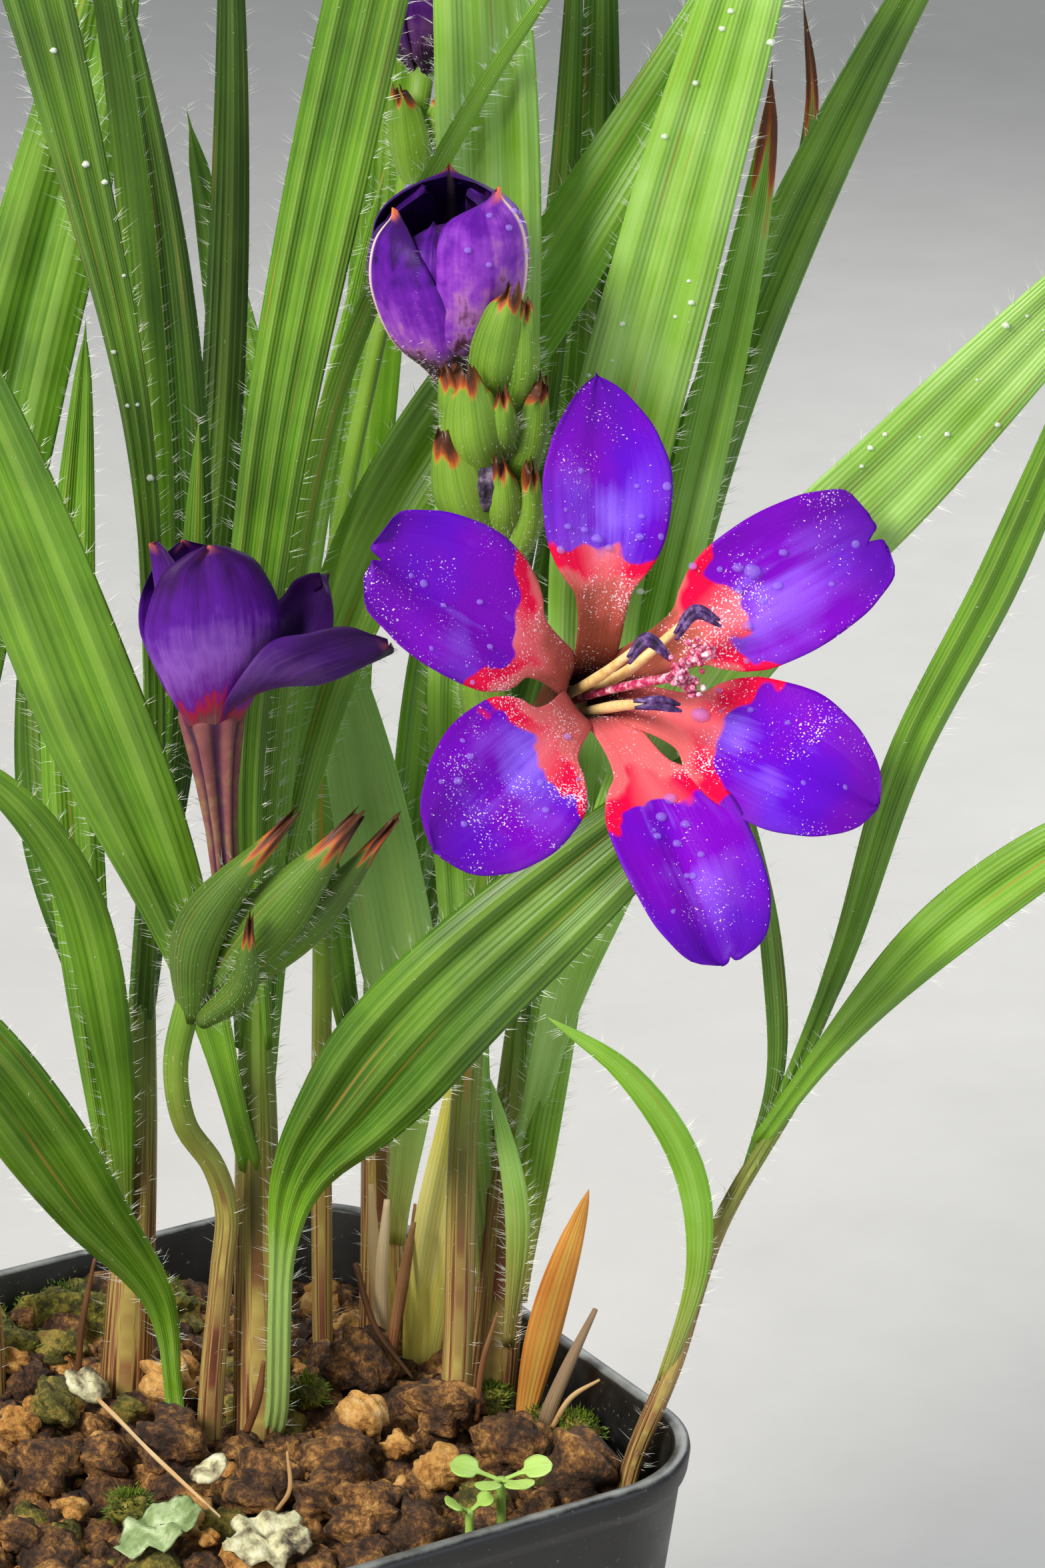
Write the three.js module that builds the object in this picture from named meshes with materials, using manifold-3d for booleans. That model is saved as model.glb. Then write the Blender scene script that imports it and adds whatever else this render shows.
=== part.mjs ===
// Potted baboon flower: a square nursery pot of gritty soil with six shoots of pleated leaves, an open
// violet and crimson bloom on the main spike, a half-open bud above it, a second spike whose bloom is
// seen from the side, a back spike in bud, a seedling, dead leaves and two weeds.
// Millimetres, +Z up. The origin is the centre of the pot's base, on the surface that it stands on.

import * as THREE from 'three';
import { mergeVertices } from 'three/addons/utils/BufferGeometryUtils.js';
import Module from 'manifold-3d';

const wasm = await Module();
wasm.setup();

// Driving dimensions
const POT_SIDE = 70;
const POT_BASE_SIDE = 54;
const POT_HEIGHT = 80;
const POT_CORNER = 12;
const POT_WALL = 1.1;
const POT_FLOOR = 1.6;
const RIM_BEAD = 0.5;
const RIM_HEIGHT = 3;
const BASE_RECESS = 1.4;
const BASE_PAD_RADIUS = 9;
const BASE_RING_WIDTH = 5;
const DRAIN_RADIUS = 2.4;
const DRAIN_SPREAD = 14;
const SOIL_LEVEL = 73;
const CLOD_SPACING = 13;
const CLOD_RADIUS = 5.2;
const CLOD_DRIFT = 1.2;
const CLEARANCE = 0.3;
const HOLE_MARGIN = 0.2;
const HOLE_FLARE = 2.2;
const BLADE = 0.8;
const BUD_BLADE = 0.7;
const PLEAT = 0.13;
const KEEL = 0.12;
const BRACT_CUP = 0.55;
const PLANT_TURN = -31.6;
const BLOOM_TURN = 25;
const BLOOM_LIFT = 28;
const BLOOM_THROAT = [35, -10, 152];
const TUBE_LENGTH = 15;
const SIDE_TUBE_LENGTH = 18.6;
const THROAT_FLOOR = -6;
const SEED = 7;

const material = (color, roughness) => new THREE.MeshStandardMaterial({ color, roughness, metalness: 0 });
const BLACK_PLASTIC = material(0x17191b, 0.42);
const SOIL = material(0x4a2f1d, 0.95);
const CORM = material(0x6f4a2c, 0.85);
const LEAF = material(0x5d9433, 0.5);
const YOUNG_LEAF = material(0x79a844, 0.5);
const YELLOWED_LEAF = material(0xb3b56a, 0.6);
const DEAD_LEAF = material(0xa9662c, 0.8);
const STRAW = material(0x8a6544, 0.85);
const VIOLET = material(0x4b12b4, 0.45);
const DARK_VIOLET = material(0x35154f, 0.5);
const CREAM = material(0xd9c08a, 0.5);
const STIGMA_RED = material(0xc22a48, 0.5);
const WEED = material(0x8fc35a, 0.5);

const UP = new THREE.Vector3(0, 0, 1);
const vector = ([x, y, z]) => new THREE.Vector3(x, y, z);
const radians = THREE.MathUtils.degToRad;
const mix = THREE.MathUtils.lerp;

let seed = SEED;
// A small linear congruential generator, so that every build draws the same numbers
function random() {
  seed = (seed * 16807) % 2147483647;
  return seed / 2147483647;
}

// Solids: a three.js geometry becomes a manifold solid and comes back as a geometry
function solid(geometry) {
  const bare = geometry.clone();
  bare.deleteAttribute('normal');
  bare.deleteAttribute('uv');
  const merged = mergeVertices(bare, 1e-4);
  return new wasm.Manifold(new wasm.Mesh({
    numProp: 3,
    vertProperties: new Float32Array(merged.attributes.position.array),
    triVerts: new Uint32Array(merged.index.array),
  }));
}

function geometryOf(shape) {
  const mesh = shape.getMesh();
  const geometry = new THREE.BufferGeometry();
  geometry.setAttribute('position', new THREE.BufferAttribute(mesh.vertProperties.slice(), 3));
  geometry.setIndex(new THREE.BufferAttribute(mesh.triVerts.slice(), 1));
  return geometry;
}

const joined = (shapes) => shapes.reduce((whole, shape) => whole.add(shape));

function closedGeometry(points, triangles) {
  const geometry = new THREE.BufferGeometry();
  geometry.setAttribute('position', new THREE.Float32BufferAttribute(points.flatMap((p) => p.toArray()), 3));
  geometry.setIndex(triangles);
  return geometry;
}

// A closed body through rings of points, each ring counter-clockwise seen from the far end
function loft(rings) {
  const count = rings[0].length;
  const points = rings.flat();
  const triangles = [];
  for (let i = 0; i + 1 < rings.length; i += 1) {
    for (let j = 0; j < count; j += 1) {
      const a = i * count + j;
      const b = i * count + ((j + 1) % count);
      triangles.push(a, b, b + count, a, b + count, a + count);
    }
  }
  const last = (rings.length - 1) * count;
  for (let j = 1; j + 1 < count; j += 1) {
    triangles.push(0, j + 1, j);
    triangles.push(last, last + j, last + j + 1);
  }
  return solid(closedGeometry(points, triangles));
}

const smoothPath = (path) => new THREE.CatmullRomCurve3(path.map(vector), false, 'centripetal');

// A round stem along a path, its radius going evenly through the given values
function stem(path, radii, sides = 6, stations = path.length * 2 - 1) {
  const curve = smoothPath(path);
  const rings = [];
  for (let i = 0; i < stations; i += 1) {
    const s = i / (stations - 1);
    const centre = curve.getPointAt(s);
    const along = curve.getTangentAt(s);
    const right = new THREE.Vector3(0, 1, 0).cross(along).normalize();
    const front = along.clone().cross(right);
    const place = s * (radii.length - 1);
    const before = Math.min(Math.floor(place), radii.length - 2);
    const radius = mix(radii[before], radii[before + 1], place - before);
    rings.push(Array.from({ length: sides }, (_, j) => {
      const angle = (j / sides) * Math.PI * 2;
      return centre.clone()
        .addScaledVector(right, radius * Math.cos(angle))
        .addScaledVector(front, radius * Math.sin(angle));
    }));
  }
  return loft(rings);
}

// A blade of even thickness: rows of points with the way that the face looks at each point.
// Both faces are split into triangles alike, so that they never cross.
function sheet(rows, thickness = BLADE) {
  const across = rows[0].length;
  const face = (sign) => rows.flatMap((row) => row.map(
    ({ point, normal }) => point.clone().addScaledVector(normal, (sign * thickness) / 2),
  ));
  const points = [...face(1), ...face(-1)];
  const behind = rows.length * across;
  const triangles = [];
  for (let i = 0; i + 1 < rows.length; i += 1) {
    for (let j = 0; j + 1 < across; j += 1) {
      const a = i * across + j;
      const b = a + 1;
      const c = b + across;
      const d = a + across;
      triangles.push(a, b, c, a, c, d);
      triangles.push(a + behind, c + behind, b + behind, a + behind, d + behind, c + behind);
    }
    const left = i * across;
    const right = left + across - 1;
    triangles.push(left, left + across, left + across + behind, left, left + across + behind, left + behind);
    triangles.push(right, right + behind, right + across + behind);
    triangles.push(right, right + across + behind, right + across);
  }
  for (let j = 0; j + 1 < across; j += 1) {
    const top = (rows.length - 1) * across + j;
    triangles.push(j, j + behind, j + 1 + behind, j, j + 1 + behind, j + 1);
    triangles.push(top, top + 1, top + 1 + behind, top, top + 1 + behind, top + behind);
  }
  return solid(closedGeometry(points, triangles));
}

// Half of a leaf's width along its length, as a share of the widest: a petiole, a blade and a point
function leafOutline(s, petiole, widest) {
  if (s < widest) {
    return mix(petiole, 1, THREE.MathUtils.smoothstep(s / widest, 0.05, 1));
  }
  return mix(1, 0.09, ((s - widest) / (1 - widest)) ** 2.1);
}

// A pleated leaf: its midline's points, its width, the way that its face turns from the viewer in
// degrees at the foot and at the tip, its number of pleats, its petiole's share of the width and
// where along it the blade is widest
function leaf({ path, width, turn = [0, 0], pleats = 2, petiole = 0.3, widest = 0.5, rows = 6 }) {
  const curve = smoothPath(path);
  const across = 2 * pleats + 1;
  return sheet(Array.from({ length: rows }, (_, i) => {
    const s = i / (rows - 1);
    const centre = curve.getPointAt(s);
    const along = curve.getTangentAt(s);
    const bearing = radians(mix(turn[0], turn[1], s));
    const facing = new THREE.Vector3(Math.sin(bearing), -Math.cos(bearing), 0);
    const side = along.clone().cross(facing).normalize();
    const normal = side.clone().cross(along);
    const half = (width / 2) * leafOutline(s, petiole, widest);
    return Array.from({ length: across }, (__, j) => {
      const u = (j / (across - 1)) * 2 - 1;
      const fold = (j % 2 === 1 ? PLEAT : -PLEAT) * half + KEEL * half * Math.abs(u);
      return { point: centre.clone().addScaledVector(side, u * half).addScaledVector(normal, fold), normal };
    });
  }));
}

// A tepal or bract in a flower's own frame, where Z is the flower's axis. The profile gives its
// distance from the axis and its height at points along it, the outline gives its half width there,
// and the cup is how far its edges lift towards the axis as a share of the half width.
function tepal({ profile, outline, bearing, cup = 0.2, across = 5, rows = 9, thickness = BLADE }) {
  const curve = smoothPath(profile.map(([out, up]) => [out, 0, up]));
  const turned = radians(bearing);
  return sheet(Array.from({ length: rows }, (_, i) => {
    const s = i / (rows - 1);
    const centre = curve.getPointAt(s);
    const along = curve.getTangentAt(s);
    const normal = new THREE.Vector3(-along.z, 0, along.x);
    const half = outline(s);
    return Array.from({ length: across }, (__, j) => {
      const u = 1 - (j / (across - 1)) * 2;
      const lift = cup * half * u * u;
      const point = centre.clone().add(new THREE.Vector3(0, u * half, 0)).addScaledVector(normal, lift);
      return {
        point: point.applyAxisAngle(UP, turned),
        normal: normal.clone().applyAxisAngle(UP, turned),
      };
    });
  }), thickness);
}

// Half widths read off a short list of shares of the length and widths
const outlineThrough = (stops) => (s) => {
  const next = Math.max(1, stops.findIndex(([share]) => share >= s));
  const [[from, start], [to, end]] = [stops[next - 1], stops[next]];
  return mix(start, end, (s - from) / (to - from));
};

// A small seeded lump, such as a clod or a frilled tip
function lump(centre, radius, flatness = 1, roughness = 0.18) {
  const geometry = mergeVertices(new THREE.IcosahedronGeometry(radius, 0).deleteAttribute('normal')
    .deleteAttribute('uv'), 1e-3);
  const place = geometry.attributes.position;
  for (let i = 0; i < place.count; i += 1) {
    const swell = 1 + roughness * (2 * random() - 1);
    place.setXYZ(i, place.getX(i) * swell, place.getY(i) * swell, place.getZ(i) * swell * flatness);
  }
  geometry.rotateX(random() * 0.5).rotateZ(random() * 6);
  geometry.translate(...centre);
  return solid(geometry);
}

const object = new THREE.Group();
object.name = 'potted_baboon_flower';
const plants = new THREE.Group();
plants.rotation.z = radians(PLANT_TURN);
object.add(plants);

function piece(name, shape, finish, parent = plants) {
  const mesh = new THREE.Mesh(geometryOf(shape), finish);
  mesh.name = name;
  parent.add(mesh);
  return mesh;
}

// Pot
const potSideAt = (z) => mix(POT_BASE_SIDE, POT_SIDE, z / POT_HEIGHT);

function roundedSquare(side, corner, z, steps = 3) {
  const inset = side / 2 - corner;
  const points = [];
  for (let quarter = 0; quarter < 4; quarter += 1) {
    const middle = new THREE.Vector3(inset, inset, z).applyAxisAngle(UP, (quarter * Math.PI) / 2);
    for (let step = 0; step <= steps; step += 1) {
      const angle = (quarter + step / steps) * Math.PI / 2;
      const out = new THREE.Vector3(corner * Math.cos(angle), corner * Math.sin(angle), 0);
      points.push(out.add(middle));
    }
  }
  return points;
}

function tapered(inset, from, to, grow = 0) {
  const offset = grow - inset;
  return loft([from, to].map((z) => roundedSquare(potSideAt(z) + 2 * offset, POT_CORNER + offset, z)));
}

function cylinder(radius, from, to, x = 0, y = 0, sides = 8) {
  const geometry = new THREE.CylinderGeometry(radius, radius, to - from, sides);
  geometry.rotateX(Math.PI / 2);
  geometry.translate(x, y, (from + to) / 2);
  return solid(geometry);
}

function pot() {
  let body = tapered(0, 0, POT_HEIGHT);
  body = body.add(tapered(0, POT_HEIGHT - RIM_HEIGHT, POT_HEIGHT, RIM_BEAD));
  body = body.subtract(tapered(POT_WALL, BASE_RECESS + POT_FLOOR, POT_HEIGHT + 1));
  const pad = cylinder(BASE_PAD_RADIUS, -2, POT_FLOOR + 2, 0, 0, 16);
  body = body.subtract(tapered(BASE_RING_WIDTH, -1, BASE_RECESS).subtract(pad));
  for (let corner = 0; corner < 4; corner += 1) {
    const angle = (corner + 0.5) * Math.PI / 2;
    const drain = cylinder(
      DRAIN_RADIUS, -1, POT_FLOOR + BASE_RECESS + 1,
      DRAIN_SPREAD * Math.SQRT2 * Math.cos(angle), DRAIN_SPREAD * Math.SQRT2 * Math.sin(angle),
    );
    body = body.subtract(drain);
  }
  return body;
}
piece('pot', pot(), BLACK_PLASTIC, object);

// Corms, each under its own shoot, and the hole that each shoot's foot stands in
const CORMS = {
  front: { at: [1.5, 7, 47], radius: 7, height: 13 },
  left: { at: [-10, 18, 48], radius: 5.6, height: 11 },
  far_left: { at: [-22, 14, 50], radius: 4.6, height: 9 },
  back: { at: [14, 23, 48], radius: 5.5, height: 11 },
  right: { at: [22, 10.5, 48], radius: 5.2, height: 11 },
  seedling: { at: [37, -5, 66], radius: 1.9, height: 4.4 },
};

function corm({ at, radius, height }, grow = 0) {
  const profile = [[0.01, -0.5], [0.8, -0.38], [1, 0.02], [0.62, 0.38], [0.01, 0.52]];
  const points = profile.map(([out, up]) => new THREE.Vector2(
    out < 0.1 ? 0 : out * radius + grow,
    up * height + Math.sign(up) * grow,
  ));
  const geometry = new THREE.LatheGeometry(points, 8);
  geometry.rotateX(Math.PI / 2);
  geometry.translate(...at);
  return solid(geometry);
}
for (const [name, sizes] of Object.entries(CORMS)) {
  piece(`corm_${name}`, corm(sizes), CORM);
}
const cormTop = ({ at, height }) => at[2] + 0.52 * height + CLEARANCE;

// Feet: the round underground part of everything that stands in the soil, in the plants' frame.
// Each runs from its lowest point to just under the surface.
const FEET = {
  front: { foot: [3.4, 7.5, cormTop(CORMS.front)], top: [4.5, 7.6, 78], radius: 2.5 },
  low_left: { foot: [-2.4, 9.2, cormTop(CORMS.front)], top: [-3.6, 9.2, 78], radius: 1.2 },
  left_spike: { foot: [-0.6, 4.6, cormTop(CORMS.front)], top: [0, 5, 78], radius: 1.2 },
  left: { foot: [-10, 18, cormTop(CORMS.left)], top: [-8.5, 15.5, 78], radius: 2.8 },
  far_left: { foot: [-22, 14, cormTop(CORMS.far_left)], top: [-22, 15, 78], radius: 2.2 },
  back: { foot: [14, 23.5, cormTop(CORMS.back)], top: [15.5, 27, 78], radius: 2.7 },
  back_spike: { foot: [9.8, 23.2, 55], top: [9.6, 26.6, 78], radius: 1 },
  yellowed: { foot: [17.4, 22, cormTop(CORMS.back)], top: [19.3, 22.4, 78], radius: 1.1 },
  right: { foot: [22, 12, cormTop(CORMS.right)], top: [26, 13.5, 78], radius: 2.6 },
  main_spike: { foot: [20.8, 8.2, cormTop(CORMS.right)], top: [22.6, 8.4, 78], radius: 1.4 },
  dead_leaf: { foot: [28.4, 9.2, 67], top: [29.4, 9, 78], radius: 1 },
  dead_stub: { foot: [29.8, 4.8, 68], top: [31.2, 4.6, 78], radius: 0.9 },
  seedling: { foot: [37, -5, cormTop(CORMS.seedling)], top: [38.9, -4.6, 78], radius: 0.9 },
  weed: { foot: [27, -14.5, 66], top: [27, -14, 78], radius: 0.5 },
  small_weed: { foot: [24.4, -16.2, 68], top: [24.2, -16.6, 78], radius: 0.5 },
};
const foot = (name) => stem([FEET[name].foot, FEET[name].top], [FEET[name].radius, FEET[name].radius], 6, 2);

function footHole(name) {
  const { foot: low, top, radius } = FEET[name];
  const way = vector(top).sub(vector(low)).normalize();
  const snug = radius + CLEARANCE + HOLE_MARGIN;
  const from = vector(low).addScaledVector(way, -1.5).toArray();
  const mouth = vector(top).addScaledVector(way, -8).toArray();
  const to = vector(top).addScaledVector(way, 4).toArray();
  return stem([from, mouth, to], [snug, snug, snug + HOLE_FLARE], 6, 3);
}

// Mossy cushions that heap up to the rim at the back left, each with its centre and radius
const MOSS_CUSHIONS = [
  [-28, 27, 6], [-18.5, 30, 6.2], [-8.5, 30.6, 6.6], [1, 30.8, 6.6], [9, 31, 5.4], [-30, 15, 5.4],
];

// Soil: a lump that fills the pot, with clods over its top and plain holes for all that stands in it
function soil() {
  const bottom = BASE_RECESS + POT_FLOOR + CLEARANCE;
  const inset = POT_WALL + CLEARANCE;
  let body = tapered(inset, bottom, SOIL_LEVEL);
  const reach = POT_SIDE / 2;
  for (let row = -3; row <= 3; row += 1) {
    for (let column = -3; column <= 3; column += 1) {
      const x = (column + (row % 2) * 0.5) * CLOD_SPACING + (2 * random() - 1) * CLOD_DRIFT;
      const y = row * CLOD_SPACING * 0.9 + (2 * random() - 1) * CLOD_DRIFT;
      const radius = CLOD_RADIUS * (0.75 + 0.5 * random());
      if (Math.abs(x) < reach && Math.abs(y) < reach) {
        body = body.add(lump([x, y, SOIL_LEVEL - 0.4 + random() * 0.9], radius, 0.8));
      }
    }
  }
  for (const [x, y, radius] of MOSS_CUSHIONS) {
    body = body.add(lump([x, y, SOIL_LEVEL + 1.4], radius, 0.95, 0.1));
  }
  body = body.intersect(tapered(inset, bottom, POT_HEIGHT + 4));
  const cuts = [
    ...Object.values(CORMS).map((sizes) => corm(sizes, CLEARANCE)),
    ...Object.keys(FEET).map(footHole),
  ];
  const turned = joined(cuts).rotate([0, 0, PLANT_TURN]);
  return body.subtract(turned);
}
piece('soil', soil(), SOIL, object);

// Shoots, in the plants' frame, as seen by a viewer who looks along +Y: each is a foot, a stem of
// folded sheaths and its fan of leaves
function shoot(footName, stems, leaves) {
  return joined([foot(footName), ...stems, ...leaves.map(leaf)]);
}

piece('shoot_front', shoot('front', [
  stem([[4.4, 7.6, 76], [4.6, 7.6, 100], [5, 7.4, 126]], [2.4, 1.9, 1.3]),
], [
  { path: [[6, 6, 75], [8, 3, 99], [14, -1, 110], [22, -4, 121], [37, -3, 135], [52, 3, 146]], width: 11.5,
    turn: [10, -6], pleats: 3, petiole: 0.24, widest: 0.5, rows: 9 },
  { path: [[4.6, 7, 112], [4, 5, 138], [7, 3, 166], [11.6, 2, 190], [20, 0, 226], [27, 1, 252]], width: 7,
    turn: [-8, 12], pleats: 3, petiole: 0.5, widest: 0.66, rows: 9 },
  { path: [[5, 7.6, 118], [8, 8, 150], [13, 9.6, 174], [24.6, 10, 198], [38, 7, 218]], width: 2.2, pleats: 1,
    turn: [10, 20], petiole: 0.5 },
  { path: [[5, 9, 112], [9, 11, 152], [13, 12, 174], [17, 12.6, 192]], width: 3, pleats: 1, turn: [0, 20],
    petiole: 0.5 },
  { path: [[3.6, 8, 118], [0, 7, 150], [0.8, 7, 171]], width: 2.8, pleats: 1, rows: 5, petiole: 0.5 },
  { path: [[5, 8.6, 108], [8, 11, 134], [16, 14, 158], [31, 19, 180], [46, 24, 204], [56, 27, 224]],
    width: 8, turn: [0, 14], pleats: 2, petiole: 0.34, rows: 8 },
  { path: [[4.2, 6.4, 100], [-1, 3, 124], [-9, -4, 150], [-18, -10, 180], [-24, -12, 200]], width: 10.5,
    turn: [-10, 0], pleats: 2, petiole: 0.22, rows: 8 },
]), LEAF);

piece('shoot_low_left', shoot('low_left', [], [
  { path: [[-3.6, 9, 74], [-4.5, 6, 87], [-10, 0, 99], [-18, -9, 117], [-27, -17, 132], [-36, -22, 144]],
    width: 9, turn: [-14, -4], pleats: 2, petiole: 0.22, widest: 0.55, rows: 8 },
]), LEAF);

piece('shoot_left', shoot('left', [
  stem([[-8.5, 15.5, 76], [-7, 15, 96], [-5.5, 14.4, 122]], [2.3, 1.7, 1.1]),
], [
  { path: [[-6, 14, 112], [-4, 11, 138], [-4.4, 8.6, 168], [-9, 5, 196], [-16, 2, 228], [-23, 3, 258]],
    width: 7.6, turn: [6, -12], pleats: 3, petiole: 0.3, widest: 0.74, rows: 9 },
  { path: [[-6, 15.4, 108], [-3.6, 14, 150], [-5, 12, 192], [-9, 9, 224]], width: 3.4, pleats: 1,
    petiole: 0.5 },
  { path: [[-7, 16.4, 104], [-1.6, 18, 150], [-2.4, 20, 180], [-6, 21, 208]], width: 5, pleats: 2,
    turn: [0, 20], petiole: 0.3 },
  { path: [[-8.6, 16.4, 84], [-11.4, 18, 115], [-12.4, 20, 141], [-10, 22, 176]], width: 5.4, pleats: 2,
    petiole: 0.3, rows: 8 },
  { path: [[-8, 14, 86], [-8.4, 11, 108], [-12, 6, 130], [-20, 2, 141], [-29, 0, 143]], width: 4.4, pleats: 1,
    petiole: 0.3 },
  { path: [[-8.4, 17, 92], [-4.5, 23, 124], [1, 28, 160], [3, 31, 205], [2, 32, 226]], width: 4, pleats: 1,
    turn: [10, 0], petiole: 0.4 },
  { path: [[-8, 17, 88], [-10, 19, 110], [-15, 21, 128], [-16, 22, 152]], width: 5, pleats: 1, petiole: 0.3,
    rows: 8 },
]), LEAF);

piece('shoot_far_left', shoot('far_left', [
  stem([[-22, 15, 76], [-22.5, 17, 96]], [2.1, 1.4]),
], [
  { path: [[-22.4, 17, 88], [-24, 24, 130], [-18, 29, 166], [-9, 31, 200], [-5, 31, 222]], width: 10,
    turn: [-20, 6], pleats: 2, petiole: 0.2, widest: 0.6, rows: 8 },
  { path: [[-22.6, 16, 86], [-28, 17, 118], [-31, 16, 154], [-37, 12, 190]], width: 7, turn: [-30, -10],
    pleats: 2, petiole: 0.3 },
  { path: [[-22.8, 15, 84], [-28, 9, 106], [-37, 2, 122], [-46, -4, 128]], width: 5, turn: [-30, -30],
    pleats: 1, petiole: 0.3 },
]), LEAF);

piece('shoot_back', shoot('back', [
  stem([[15.5, 27, 76], [15.4, 27, 98], [15, 27, 118]], [2.3, 1.8, 1.1]),
], [
  { path: [[15.2, 27.4, 108], [13, 27, 140], [16, 28, 180], [19, 29, 226]], width: 5.4, pleats: 1,
    petiole: 0.4 },
  { path: [[16.6, 25.4, 84], [18.4, 21.8, 104], [15, 18.4, 130], [10, 17.4, 156]], width: 7.4,
    turn: [-6, 10] },
  { path: [[16, 28, 96], [27, 31, 128], [34, 32, 160], [36, 32, 208], [36, 31, 224]], width: 5, pleats: 1,
    petiole: 0.3 },
  { path: [[16, 29, 94], [34, 34, 130], [47, 36, 160], [55, 36, 190], [54, 35, 203]], width: 3, pleats: 1,
    petiole: 0.4 },
  { path: [[15.6, 28, 100], [26, 27.6, 140], [32, 27, 180], [34, 27, 218]], width: 3.4, pleats: 1,
    petiole: 0.4 },
  { path: [[14.6, 28, 92], [9, 34, 124], [4, 40, 158], [-2, 44, 190]], width: 7, turn: [180, 160], pleats: 2,
    petiole: 0.25 },
  { path: [[16, 29, 90], [19, 36, 116], [22, 44, 142], [27, 52, 160]], width: 7, turn: [180, 200], pleats: 2,
    petiole: 0.25 },
]), LEAF);

piece('leaf_yellowed', shoot('yellowed', [], [
  { path: [[19.4, 21.8, 74], [21, 19, 88], [23, 16.4, 103], [22.6, 15.6, 111]], width: 5, pleats: 2,
    petiole: 0.45 },
]), YELLOWED_LEAF);

piece('shoot_right', shoot('right', [
  stem([[26, 13.5, 76], [27.4, 13.4, 96], [29, 13, 116]], [2.4, 1.9, 1.1]),
], [
  { path: [[26.4, 13, 80], [24, 12.6, 112], [23.4, 12.4, 140], [26, 13.2, 176], [25, 13.4, 214],
    [22, 14, 246]], width: 9, turn: [-6, 6], pleats: 2, petiole: 0.28, widest: 0.66, rows: 8 },
  { path: [[28.6, 13, 100], [34, 11.4, 130], [36, 11, 160], [42, 10, 187], [51, 7, 222], [55, 7, 240]],
    width: 9.4, turn: [-10, 4], pleats: 3, petiole: 0.28, widest: 0.5, rows: 9 },
  { path: [[28.8, 14.4, 98], [36, 14.6, 126], [43.6, 15, 160], [50, 14.6, 193], [50.4, 14, 201]], width: 4.6,
    pleats: 2, petiole: 0.4, widest: 0.6 },
  { path: [[28.6, 15, 96], [37, 18, 132], [47, 20.6, 170], [60, 22, 200], [73, 24, 222]], width: 6.6,
    turn: [10, 20], pleats: 2, petiole: 0.3, rows: 8 },
  { path: [[28, 11.6, 96], [34, 6, 122], [45, 3, 149], [63, 1, 170], [80, 0, 189], [88, 0, 198]], width: 9.6,
    turn: [0, 6], pleats: 2, petiole: 0.22, widest: 0.55, rows: 8 },
  { path: [[27.6, 11.4, 80], [28.4, 6.8, 96], [26, 4.6, 110]], width: 3, pleats: 1, petiole: 0.5, rows: 6 },
  { path: [[28.6, 12.6, 84], [31, 9.6, 104], [34.4, 8, 121]], width: 3.6, pleats: 1, petiole: 0.5, rows: 6 },
]), LEAF);

piece('leaf_dead', shoot('dead_leaf', [], [
  { path: [[29.2, 9, 74], [31.6, 8, 86], [35, 7, 98]], width: 4, pleats: 1, petiole: 0.4, rows: 6 },
]), DEAD_LEAF);

piece('stub_dead', shoot('dead_stub', [
  stem([[31.2, 4.6, 76], [33, 4.6, 81], [35.4, 4.6, 86.5]], [0.8, 0.6, 0.4], 6, 3),
], []), STRAW);

piece('shoot_seedling', shoot('seedling', [
  stem([[38.9, -4.6, 76], [42.5, -4.6, 86], [46.5, -3.4, 99], [53, -2.4, 111]], [0.9, 0.8, 0.7], 6),
], [
  { path: [[51, -2.7, 108], [57, -3, 125], [62, -3, 143], [70, -4, 161], [77, -6, 182], [80, -7, 196]],
    width: 4.4, turn: [10, 20], pleats: 2, petiole: 0.35, widest: 0.55 },
  { path: [[50, -2.8, 107], [56, -5, 117], [65, -8, 129], [76, -11, 139], [86, -13, 145]], width: 5.6,
    turn: [0, -10], pleats: 2, petiole: 0.3, widest: 0.6 },
  { path: [[49, -3, 104], [51.4, -1.6, 113], [51, 0, 124], [48.4, 2, 139]], width: 2, pleats: 1, petiole: 0.6,
    rows: 6 },
  { path: [[41.5, -4.8, 84], [44.6, -6.4, 97], [43.4, -7.4, 107], [38, -8.2, 116], [31, -7.4, 121]],
    width: 2.8, pleats: 1, turn: [0, 10], petiole: 0.45, widest: 0.55 },
]), YOUNG_LEAF);

// Bracts: green boats with a pointed, torn tip, each along its own midline, hollow side to the spike
function bract({ path, turn = 0, half }) {
  const curve = smoothPath(path);
  const rows = 4;
  const outline = outlineThrough([[0, 0.55], [0.4, 1], [0.72, 0.84], [1, 0.2]]);
  const facing = new THREE.Vector3(Math.sin(radians(turn)), -Math.cos(radians(turn)), 0);
  return sheet(Array.from({ length: rows }, (_, i) => {
    const s = i / (rows - 1);
    const centre = curve.getPointAt(s);
    const along = curve.getTangentAt(s);
    const side = along.clone().cross(facing).normalize();
    const normal = side.clone().cross(along);
    const width = half * outline(s);
    return [-1, 0, 1].map((u) => ({
      point: centre.clone().addScaledVector(side, u * width)
        .addScaledVector(normal, -BRACT_CUP * width * u * u),
      normal,
    }));
  }));
}

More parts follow.
